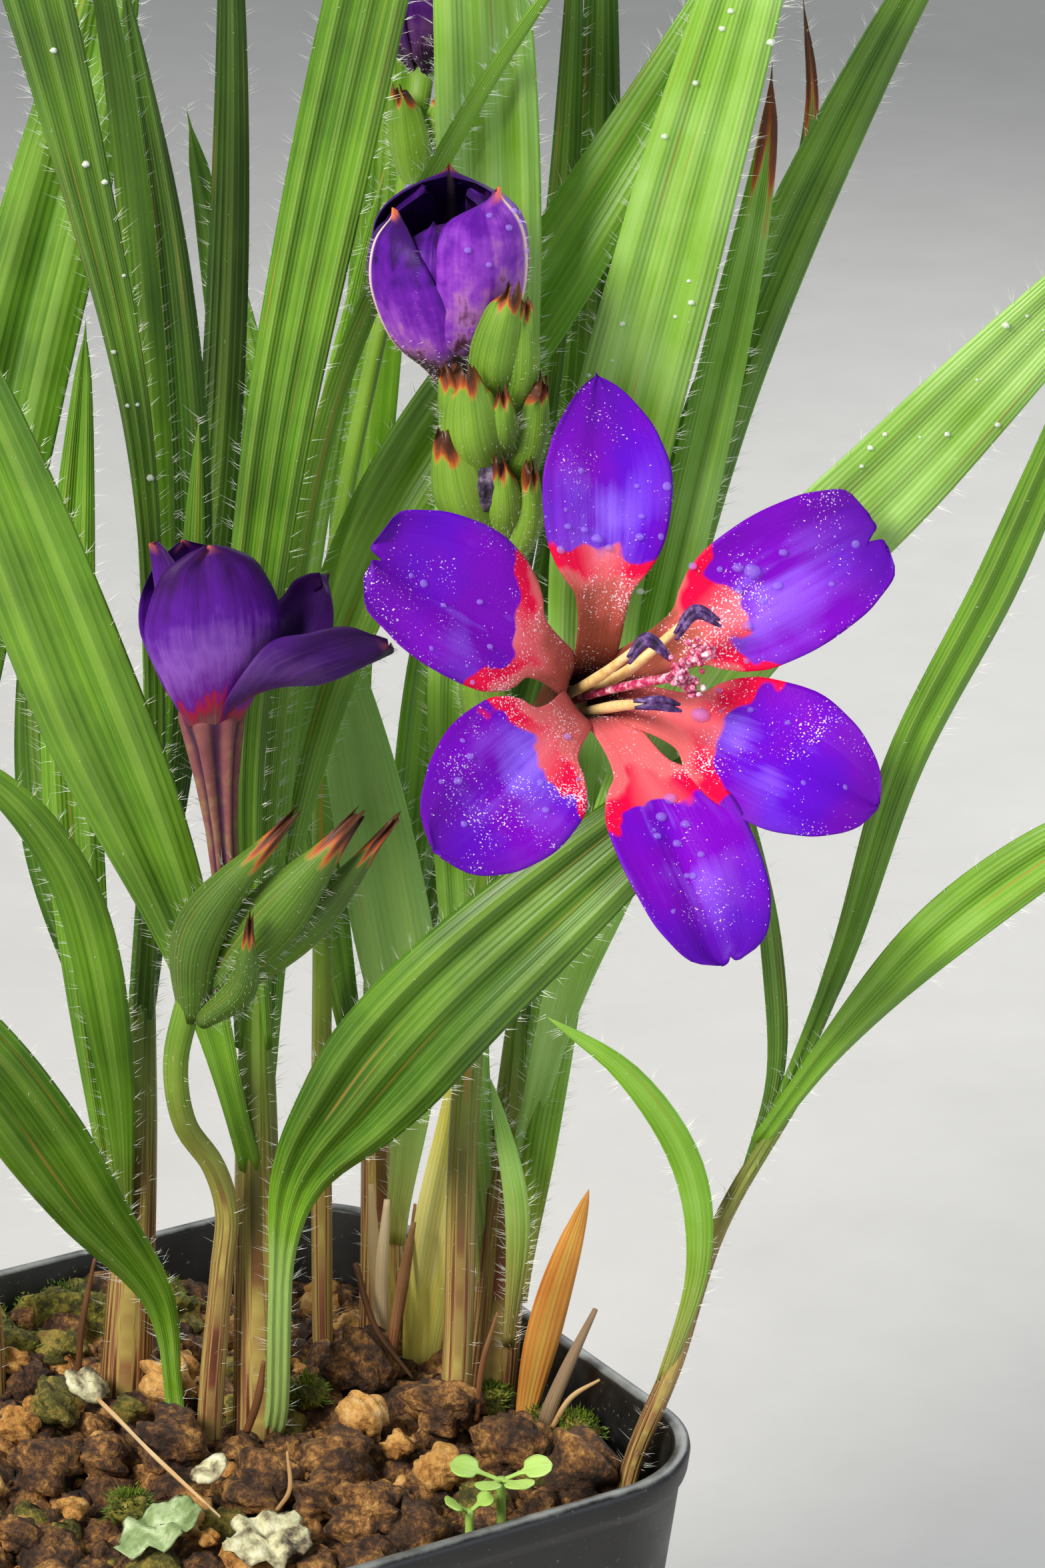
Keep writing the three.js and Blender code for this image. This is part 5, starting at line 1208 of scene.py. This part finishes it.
def bud_shells(where, scale, wraps, tube, shade):
    """A bud's overlapping tepals, a core painted dark as the shade within it, its tube and the drops along
    its rim
    """
    shells, drops = Shells(seed=21), Shells(seed=22)
    for bearing, spread, out, *shape in wraps:
        face = add_wrap(shells, where, scale, shade, bearing, spread, out, *shape)
        for _ in range(RIM_DROPS if out and -60 < bearing < 120 else 0):
            row, column = drops.random.integers(28, 37), drops.random.integers(3, 18)
            lump(drops, face[row, column], drops.random.uniform(*RIM_DROP_RADII), 0.85, 0.0, 10)
    shaded_core = [ring(radius * scale, height * scale, 20) for radius, _, height in smooth_path(BUD_SHADED_CORE, 20)]
    # Its stain paints the core near-black, as the shade within the bud
    shells.loft(where(shaded_core), along=np.linspace(0, 0.7, 20)[:, None], stain=0.8, tone=0.2)
    shells.tube(where(tube), [0.75, 0.85, 0.8], along=0.0, tone=0.4)
    return shells, drops


# Settings that a user would change

class FlowerLook(bpy.types.PropertyGroup):
    violet: FloatVectorProperty(
        name="Violet", description="Colour of the open tepals' blades", subtype="COLOR",
        default=linear("#7400B6"), min=0, max=1)
    lilac: FloatVectorProperty(
        name="Lilac", description="Colour of the paler streak up each open tepal", subtype="COLOR",
        default=linear("#9066F6"), min=0, max=1)
    plastic: FloatVectorProperty(
        name="Pot", description="Colour of the pot's plastic", subtype="COLOR",
        default=linear("#090A0B"), min=0, max=1)
    hair_thickness: FloatProperty(
        name="Hair thickness", description="Radius of a hair at its root", unit="LENGTH",
        default=0.019 * MM, min=0.01 * MM, max=0.2 * MM)
    drop_size: FloatProperty(
        name="Largest drop", description="Radius of the largest water drops", unit="LENGTH",
        default=0.4 * MM, min=0.05 * MM, max=2 * MM)
    clod_spacing: FloatProperty(
        name="Clod spacing", description="Least distance between two clods of grit", unit="LENGTH",
        default=3.5 * MM, min=1 * MM, max=10 * MM)
    seed: IntProperty(name="Seed", description="Seed of what is scattered", default=SEED, min=0)


class PieceOperator:
    """What the operators that make pieces share"""
    bl_options = {"REGISTER", "UNDO"}


class MakePot(PieceOperator, bpy.types.Operator):
    """Makes the square nursery pot with its beaded rim and drain holes"""
    bl_idname = "baboon_flower.pot"
    bl_label = "Pot"

    def execute(self, context):
        shells, drills = Shells(turn=0), Shells(turn=0)
        shells.loft([rounded_square(z, inset) for z, inset in POT_PROFILE])
        shells.loft([ring(radius, z, 48) for radius, z in BASE_PAD])
        for x in (-DRAIN_SPREAD, DRAIN_SPREAD):
            for y in (-DRAIN_SPREAD, DRAIN_SPREAD):
                drills.loft([ring(DRAIN_RADIUS, z, 24) + [x, y, 0] for z in DRILL_ENDS])
        pot = show(shells.mesh("nursery_pot"), black_plastic(context.scene.baboon_flower))
        drill = show(drills.mesh("drain_drill"))
        cut = pot.modifiers.new("Drain holes", "BOOLEAN")
        cut.operation, cut.object, cut.solver = "DIFFERENCE", drill, "EXACT"
        baked(pot, cut)
        bpy.data.objects.remove(drill)
        settle(pot, "pot", "pot")
        return {"FINISHED"}


class MakeSoil(PieceOperator, bpy.types.Operator):
    """Makes the soil: its body, clods, grit, stones, moss and litter"""
    bl_idname = "baboon_flower.soil"
    bl_label = "Soil"

    def execute(self, context):
        look = context.scene.baboon_flower
        material = grit("Potting grit")
        ground = soil_shells().finish("soil_body", "soil", material, "soil").data
        clods = ("soil_clods", 3, 4e5, look.clod_spacing / MM, 1.5, 3.1, 0.8, 3.4, 0.1)
        for number, (name, *sizes) in enumerate((clods, *CRUMBS)):
            scattered(name, "soil", ground, material, look.seed + number, *sizes)
        stones = Shells(seed=look.seed)
        for *at, radius, tone in STONES:
            lump(stones, at, radius, 0.85, 0.2, 22, tone, potted=True)
        stones.finish("soil_stones", "soil", material)
        straws = Shells(seed=8)
        for path, radius, tone in STRAWS:
            straws.tube(path, [radius, radius * 1.1, radius, radius * 0.5], 8, 20, flat=0.5, tone=tone)
        straws.finish("dry_straws", "leaf_dead", leaf_tissue("Dry straw"))
        chips = Shells(seed=9)
        for chip in LICHEN_CHIPS:
            add_flake(chips, *chip)
        chips.finish("lichen_chips", "soil", mottled("Lichen chip"))
        scrap = Shells(seed=10)
        add_flake(scrap, *LEAF_SCRAP)
        scrap.finish("leaf_scrap", "leaf", mottled("Leaf scrap"))
        moss = Shells(turn=0, seed=5)
        for x, y, radius in MOSS_CUSHIONS:
            lump(moss, (x, y, 74.2), radius * 0.94, 0.9, 0.16, 24, hairs=420, length=0.4, potted=True)
        for *at, radius in MOSS_TUFTS:
            lump(moss, turned(at, PLANT_TURN), radius, 0.8, 0.12, 20, hairs=360, length=0.55, potted=True)
        moss.finish("moss_cushions", "soil", mottled("Moss cushion"))
        hair_piece("moss_leaves", moss, 0.11 * MM, mottled("Moss leaf"), "soil")
        return {"FINISHED"}


class MakeCorms(PieceOperator, bpy.types.Operator):
    """Gives the corms under the soil their fibrous brown tunics"""
    bl_idname = "baboon_flower.corms"
    bl_label = "Corms"

    def execute(self, context):
        tunic = mottled("Corm tunic")
        for name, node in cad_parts.items():
            if name.startswith("corm_"):
                node.data.materials.clear()
                node.data.materials.append(tunic)
        return {"FINISHED"}


class MakeLeaves(PieceOperator, bpy.types.Operator):
    """Makes the shoots: ribbed sheaths, pleated leaves and their white hairs"""
    bl_idname = "baboon_flower.leaves"
    bl_label = "Leaves"

    def execute(self, context):
        look = context.scene.baboon_flower
        green, hair = leaf_tissue("Living leaf"), clear("Leaf hair", "#F2F6EC")
        dew = Shells(seed=12)
        for number, (node, (stem, leaves)) in enumerate(SHOOTS.items()):
            shells = Shells(seed=look.seed + number)
            if stem:
                add_stem(shells, *stem, hairy=2.2 if node == "shoot_seedling" else 0.8)
            for sizes in leaves:
                add_leaf(shells, **sizes)
            shells.finish(node.replace("shoot", "leaves"), "leaf", green, node)
            hair_piece(node.replace("shoot", "hairs"), shells, look.hair_thickness, hair, "leaf")
            for at, radius in shells.beads:
                lump(dew, at, radius, 0.8, 0.1, 10)
        # The dew is whitish and partly see-through: its pale colour is a painted highlight
        dew.finish("leaf_dew", "leaf", clear("Dew on leaves", "#F4FAF4", WATER_IOR, 0.04, 0.55))
        return {"FINISHED"}


class MakeFadedLeaves(PieceOperator, bpy.types.Operator):
    """Makes the yellowed leaf, the dead leaf and the stub of another"""
    bl_idname = "baboon_flower.faded_leaves"
    bl_label = "Faded leaves"

    def execute(self, context):
        yellowed, dead, stub = (Shells(seed=seed) for seed in (31, 32, 33))
        add_leaf(yellowed, YELLOWED_PATH, YELLOWED_WIDTH, petiole=0.5, tone=0.72, hairy=0.3, stain=0)
        yellowed.finish("yellowed_leaf", "leaf", leaf_tissue("Yellowed leaf"), "leaf_yellowed")
        add_leaf(dead, DEAD_PATH, DEAD_WIDTH, pleats=1, petiole=0.4, hairy=0.1, stain=0)
        dead.finish("dead_leaf", "leaf_dead", leaf_tissue("Dead leaf"), "leaf_dead")
        stub.tube(STUB_PATH, STUB_RADII, 10, flat=0.6, tone=0.5)
        stub.finish("dead_stub", "leaf_dead", leaf_tissue("Dry sheath"), "stub_dead")
        return {"FINISHED"}


class MakeSpikes(PieceOperator, bpy.types.Operator):
    """Makes the three flowering stems with their hairy, burnt-tipped bracts"""
    bl_idname = "baboon_flower.spikes"
    bl_label = "Spikes"

    def execute(self, context):
        look = context.scene.baboon_flower
        green, hair = leaf_tissue("Bract"), clear("Bract hair", "#F0F2E6")
        for side, stem, bracts, radii, more in SPIKES:
            shells = Shells(seed=look.seed + len(stem))
            add_stem(shells, stem, radii, 0.42, 0.6)
            for path, half, turn in bracts:
                add_bract(shells, path, half, turn, **more)
            shells.finish(f"stem_{side}", "leaf", green, f"spike_{side}")
            hair_piece(f"stem_hairs_{side}", shells, look.hair_thickness * 0.8, hair, "leaf")
        return {"FINISHED"}


# Water drops on each open tepal: share of its length, place across it, radius
DROPS = [
    [(0.5, 0.1, 0.5), (0.47, -0.1, 0.38), (0.53, 0.3, 0.34), (0.5, -0.6, 0.4), (0.56, -0.62, 0.3),
     (0.55, 0.62, 0.32), (0.66, -0.5, 0.26)],
    [(0.6, 0.3, 0.75), (0.56, 0.5, 0.5), (0.64, 0.0, 0.45), (0.7, 0.35, 0.4), (0.58, -0.1, 0.42),
     (0.53, 0.2, 0.36), (0.78, -0.4, 0.3), (0.5, -0.35, 0.5)],
    [(0.36, 0.25, 0.8), (0.5, 0.5, 0.3), (0.62, 0.5, 0.26)],
    [(0.46, 0.15, 0.6), (0.5, -0.1, 0.5), (0.54, 0.2, 0.42), (0.6, 0.0, 0.4), (0.66, 0.15, 0.34),
     (0.57, -0.35, 0.36), (0.7, -0.1, 0.3)],
    [(0.8, -0.5, 0.4), (0.7, -0.62, 0.34), (0.86, 0.0, 0.3), (0.6, 0.55, 0.34), (0.3, 0.3, 0.36)],
    [(0.6, -0.2, 0.3), (0.52, 0.3, 0.3), (0.72, 0.1, 0.24)],
]
# The open bloom's tube, down its outside and up its throat: radius and height
OPEN_TUBE = [(1.0, -15), (1.3, -11), (2.6, -6.5), (3.1, -2), (3.3, -0.4), (2.9, -0.4), (2.3, -2.4), (1.9, -6),
             (0.3, -6.1)]
STYLE_PATH = [[0, 0, -4.7], [0.5, -0.2, 0], [2, -0.6, 5.2], [3.4, -0.9, 8.4]]
STYLE_FORK = [3.3, -0.9, 8.2]
FILAMENT_RADII, ANTHER_RADII = [0.42, 0.5, 0.3], [0.14, 0.32, 0.4, 0.34, 0.14]
STYLE_RADII, FRILL_RADII = [0.34, 0.36, 0.4, 0.45], [0.42, 0.36, 0.62]
PAPILLAE = 34


class MakeOpenBloom(PieceOperator, bpy.types.Operator):
    """Makes the open bloom: tepals and tube, stamens, style, water drops and pollen"""
    bl_idname = "baboon_flower.open_bloom"
    bl_label = "Open bloom"

    def execute(self, context):
        look = context.scene.baboon_flower
        where = bloom_frame(**OPEN_BLOOM)
        shells, faces = Shells(seed=look.seed), []
        for number, (length, half, taper, more) in enumerate(OPEN_TEPALS):
            sunk = (number % 2) * 0.35
            profile = [(2, -1.5 - sunk), (3.2, 1.2 - sunk), (0.3 * length, 4.6 - sunk),
                       (0.6 * length, 7.6), (0.8 * length, 8.9), (0.94 * length, 9.4)]
            blunt = 0.3 if more.get("notch", 0) > 1 else 0.1
            outline = [(0, 1.9), (0.2, 2.1), (0.3, 2.5), (0.37, 0.62 * half), (0.43, 0.8 * half),
                       (0.53, 0.95 * half), (0.66, half)]
            outline += [(share, half * wide ** taper) for share, wide in (
                (0.8, 0.88 + 0.2 * blunt), (0.9, 0.66 + 0.5 * blunt), (0.965, 0.38 + blunt), (1, blunt))]
            faces.append(add_tepal(shells, where, profile, outline, cup=0.16, rows=OPEN_ROWS,
                                   across=OPEN_COLUMNS, tone=number * 1.7, thickness=0.5, wet=True, **more))
        shells.loft(where([ring(radius, z, 32) for radius, z in OPEN_TUBE]), along=0.08, tone=0.5)
        mesh = shells.finish("open_tepals", "petal", open_tepal(look), "bloom_open_tepals").data
        # The water is pale lilac and partly see-through, so that the drops look lighter than the tepal: a
        # painted highlight
        water = clear("Water", "#B090F8", WATER_IOR, 0.02, 0.34)
        drops = Shells(seed=2)
        for face, beads in zip(faces, DROPS):
            for s, u, radius in beads:
                spot = face[int(s * (OPEN_ROWS - 1)), int((1 - u) / 2 * (OPEN_COLUMNS - 1))]
                lump(drops, spot, radius, 0.8, 0.05, 12)
        drops.finish("bloom_beads", "petal", water)
        scattered("bloom_drops", "petal", mesh, water, look.seed, 3, 3e5, 1.2, 0.08, look.drop_size / MM,
                  0.62, 0.0, -0.15)
        scattered("bloom_pollen", "petal", mesh, mottled("Pollen and dust"), look.seed + 1, 1, 8e5, 0.12,
                  0.02, 0.06, 0.7, 0.0, -0.5)
        parts = Shells(seed=3)
        for filament, anther in STAMENS:
            parts.tube(where(filament), FILAMENT_RADII, 10)
            for shift in (-0.28, 0.28):
                parts.tube(where(smooth_path(anther, 18) + [0, shift, 0.1]), ANTHER_RADII, 10, 22, slot=1)
        parts.loft(where([ring(1.45, THROAT_FLOOR + z, 16) for z in (0.3, 1)]))
        stamens = parts.finish("stamens", "stamen", mottled("Filament"), "bloom_open_stamens")
        stamens.data.materials.append(mottled("Anther"))
        style = Shells(seed=4)
        style.tube(where(STYLE_PATH), STYLE_RADII, 10)
        for tip in STYLE_TIPS:
            style.tube(where(smooth_path([STYLE_FORK, tip], 8)), FRILL_RADII, 10)
            for _ in range(PAPILLAE):
                bead = where(tip + style.random.normal(0, 0.5, 3))
                lump(style, bead, 0.2 + 0.12 * style.random.random(), 1, 0.1, 5)
        style.finish("style", "style", mottled("Style"), "bloom_open_style")
        return {"FINISHED"}


BUD_COLOURS = [(0.0, "#33200E"), (0.19, "#3A1C14"), (0.27, "#5C2C50"), (0.38, "#A466B0"), (0.52, "#8438B4"),
               (0.72, "#5E1496"), (0.9, "#480A80"), (1.0, "#300458")]
SIDE_COLOURS = [(0.0, "#86664A"), (0.04, "#7C4C4A"), (0.08, "#764648"), (0.14, "#74303A"), (0.21, "#A00C34"),
                (0.29, "#5E1484"), (0.5, "#7E4CAE"), (0.72, "#52148C"), (1.0, "#30044E")]


# The withered flower between the bracts: its place, and its radius and height
WITHERED_PLACE = [25.7, -3.2, 166.9]
WITHERED_PROFILE = [(0.5, -1), (1.3, 0), (1.75, 1.5), (1.6, 2.8), (1, 3.8), (0.3, 4.2)]


class MakeBuds(PieceOperator, bpy.types.Operator):
    """Makes the half-open bud on the main spike and the bud at the back"""
    bl_idname = "baboon_flower.buds"
    bl_label = "Buds"

    def execute(self, context):
        look = context.scene.baboon_flower
        skin = closed_tepal("Half-open tepal", BUD_COLOURS, grain=0.12)
        hair = clear("Bud hair", "#E8E0F0")
        # The dew is pale lilac and partly see-through, so that the drops look lighter than the bud: a painted
        # highlight
        water = clear("Dew on the bud", "#B090F8", WATER_IOR, 0.02, 0.36)
        for name, node, place, scale, wraps, tube, shade, slot in (
                ("half_open_bud", "bud_half_open", BUD, 0.94, BUD_WRAPS, BUD_STALK, 0.0, "petal"),
                ("back_bud", "bud_back", BACK_BUD, 0.8, BACK_WRAPS, BACK_STALK, 0.72, "petal_dark")):
            shells, drops = bud_shells(bloom_frame(**place), scale, wraps, tube, shade)
            shells.finish(name, slot, skin, node)
            drops.finish(name + "_drops", slot, water)
            hair_piece(name + "_hairs", shells, look.hair_thickness, hair, slot)
        withered = Shells(seed=14)
        ribs = 1 + 0.1 * np.cos(11 * around(48))
        withered.loft([ring(radius * ribs, z, 48) * [1, 0.8, 1] + WITHERED_PLACE
                       for radius, z in WITHERED_PROFILE], tone=0.5, along=0.85, stain=0.35)
        withered.finish("withered_flower", "petal_dark", mottled("Withered flower"))
        return {"FINISHED"}


# The side bloom's tube: radius, height, depth of its ribs and place in its colours
SIDE_TUBE = [(0.85, -18.6, 0.2, 0), (1, -15, 0.2, 0.03), (1.15, -11, 0.22, 0.05), (1.55, -6.5, 0.24, 0.06),
             (2.1, -3, 0.2, 0.08), (2.7, -0.6, 0.08, 0.1), (2.8, 0.6, 0, 0.13)]
# Its tepals' half width along their length, as shares of both
SIDE_OUTLINE = [(0, 0.4), (0.3, 0.78), (0.6, 1), (0.85, 0.78), (0.96, 0.4), (1, 0.08)]


class MakeSideBloom(PieceOperator, bpy.types.Operator):
    """Makes the bloom seen from the side, with its ribbed tube and flung tepals"""
    bl_idname = "baboon_flower.side_bloom"
    bl_label = "Side bloom"

    def execute(self, context):
        look = context.scene.baboon_flower
        where = bloom_frame(**SIDE_BLOOM)
        shells = Shells(seed=13)
        for half, one in SIDE_TEPALS:
            outline = [(share, wide * half) for share, wide in SIDE_OUTLINE]
            face = add_tepal(shells, where, outline=outline, cup=0.3, rows=40, across=21, ripple=0.16,
                             scorch=0.5, **{"notch": 0.3, "notch_at": 0.3, **one})
        shells.hairs(face[12:, 0], unit(face[12:, 0] - face[12:, 10]) * 0.5, 110)
        ribs = np.cos(6 * around(72))
        # The grooves between the tube's ribs are darkened by the stain: painted shade
        shells.loft(where([ring(radius * (1 + rib * ribs), z, 72) for radius, z, rib, _ in SIDE_TUBE]),
                    along=np.array(SIDE_TUBE)[:, 3:], stain=0.8 * ease(0.1, -0.9, ribs), tone=0.5)
        shells.finish("side_bloom", "petal_dark", closed_tepal("Side tepal", SIDE_COLOURS), "bloom_side")
        hair_piece("side_bloom_hairs", shells, look.hair_thickness, clear("Tepal hair", "#EDE6F2"),
                   "petal_dark")
        return {"FINISHED"}


class MakeWeeds(PieceOperator, bpy.types.Operator):
    """Makes the two weeds at the front of the pot"""
    bl_idname = "baboon_flower.weeds"
    bl_label = "Weeds"

    def execute(self, context):
        fresh = leaf_tissue("Seed leaf")
        for node, (x, y), height, reach, leaves in WEEDS:
            shells = Shells(seed=6)
            crown = [x, y, 74 + height]
            shells.tube([[x, y, 68], [x, y, 75], crown], [0.45, 0.42, 0.4], 10, tone=0.5)
            for bearing, size in leaves:
                outline = [(0, 0.25), (0.38, 0.3), (0.55, 0.8 * size), (0.75, size), (0.92, 0.72 * size),
                           (1, 0.2)]
                add_tepal(shells, lambda points: points + crown, [(0, -0.3), (0.5 * reach, 0.5), (reach, 1)],
                          outline, bearing, cup=0.1, rows=20, across=11, tone=0.6, keel=0.2, thickness=0.3)
            shells.finish(node + "_leaves", "weed", fresh, node)
        return {"FINISHED"}


# Lights, in the plants' frame: name, place, diameter in metres, watts and tint
LIGHTS = [("Key", (-420, -520, 640), 0.3, 10.0, "#FFF8EE"), ("Fill", (620, -420, 300), 0.7, 1.7, "#EAF2FF"),
          ("Rim", (260, 560, 520), 0.5, 3.0, "#FFFFFF")]
AIM = (14, 0, 150)
CAMERA_PLACE = (28.9, -432.9, 297.5)
CAMERA_PITCH = 70
LENS, SENSOR_WIDTH = 120.9, 36
SKY_COLOUR, SKY_STRENGTH = "#E6ECF2", 0.5
FLOOR_RADIUS = 2.0
FLOOR_DROP = 0.0002


class MakeStage(PieceOperator, bpy.types.Operator):
    """Makes the pale floor, the soft studio light and the camera at the photograph's viewing angle"""
    bl_idname = "baboon_flower.stage"
    bl_label = "Stage"

    def execute(self, context):
        scene = context.scene
        mesh = bpy.data.meshes.new("floor")
        mesh.from_pydata(ring(FLOOR_RADIUS, -FLOOR_DROP, 64).tolist(), [], [list(range(64))])
        show(mesh, mottled("Studio paper"))
        scene.world = bpy.data.worlds.new("Studio")
        scene.world.use_nodes = True
        sky = scene.world.node_tree.nodes["Background"].inputs
        sky["Color"].default_value, sky["Strength"].default_value = rgba(SKY_COLOUR), SKY_STRENGTH
        for name, place, size, power, tint in LIGHTS:
            data = bpy.data.lights.new(name, "AREA")
            data.shape, data.size, data.energy, data.color = "DISK", size, power, linear(tint)
            light = bpy.data.objects.new(name, data)
            light.location = turned(place, PLANT_TURN) * MM
            x, y, z = turned(AIM, PLANT_TURN) * MM - np.array(light.location)
            light.rotation_euler = (math.atan2(math.hypot(x, y), -z), 0, math.atan2(-x, y))
            scene.collection.objects.link(light)
        data = bpy.data.cameras.new("Camera")
        data.lens, data.sensor_width, data.clip_start = LENS, SENSOR_WIDTH, 0.01
        scene.camera = bpy.data.objects.new("Camera", data)
        scene.camera.location = turned(CAMERA_PLACE, PLANT_TURN) * MM
        scene.camera.rotation_euler = (math.radians(CAMERA_PITCH), 0, math.radians(PLANT_TURN))
        scene.collection.objects.link(scene.camera)
        scene.view_settings.view_transform = "Standard"
        return {"FINISHED"}


STEPS = (MakeStage, MakePot, MakeSoil, MakeCorms, MakeLeaves, MakeFadedLeaves, MakeSpikes, MakeOpenBloom,
         MakeBuds, MakeSideBloom, MakeWeeds)


class BaboonFlowerPanel(bpy.types.Panel):
    """Lists the flower's settings and the operators that make its pieces"""
    bl_idname = "VIEW3D_PT_baboon_flower"
    bl_label = "Baboon flower"
    bl_space_type = "VIEW_3D"
    bl_region_type = "UI"
    bl_category = "Baboon flower"

    def draw(self, context):
        look = context.scene.baboon_flower
        for name in FlowerLook.__annotations__:
            self.layout.prop(look, name)
        for step in STEPS:
            self.layout.operator(step.bl_idname)


CLASSES = (FlowerLook, *STEPS, BaboonFlowerPanel)


def register():
    for each in CLASSES:
        bpy.utils.register_class(each)
    bpy.types.Scene.baboon_flower = PointerProperty(type=FlowerLook)


def unregister():
    del bpy.types.Scene.baboon_flower
    for each in reversed(CLASSES):
        bpy.utils.unregister_class(each)


def main():
    register()
    for step in STEPS:
        group, name = step.bl_idname.split(".")
        getattr(getattr(bpy.ops, group), name)()


if __name__ == "__main__":
    main()
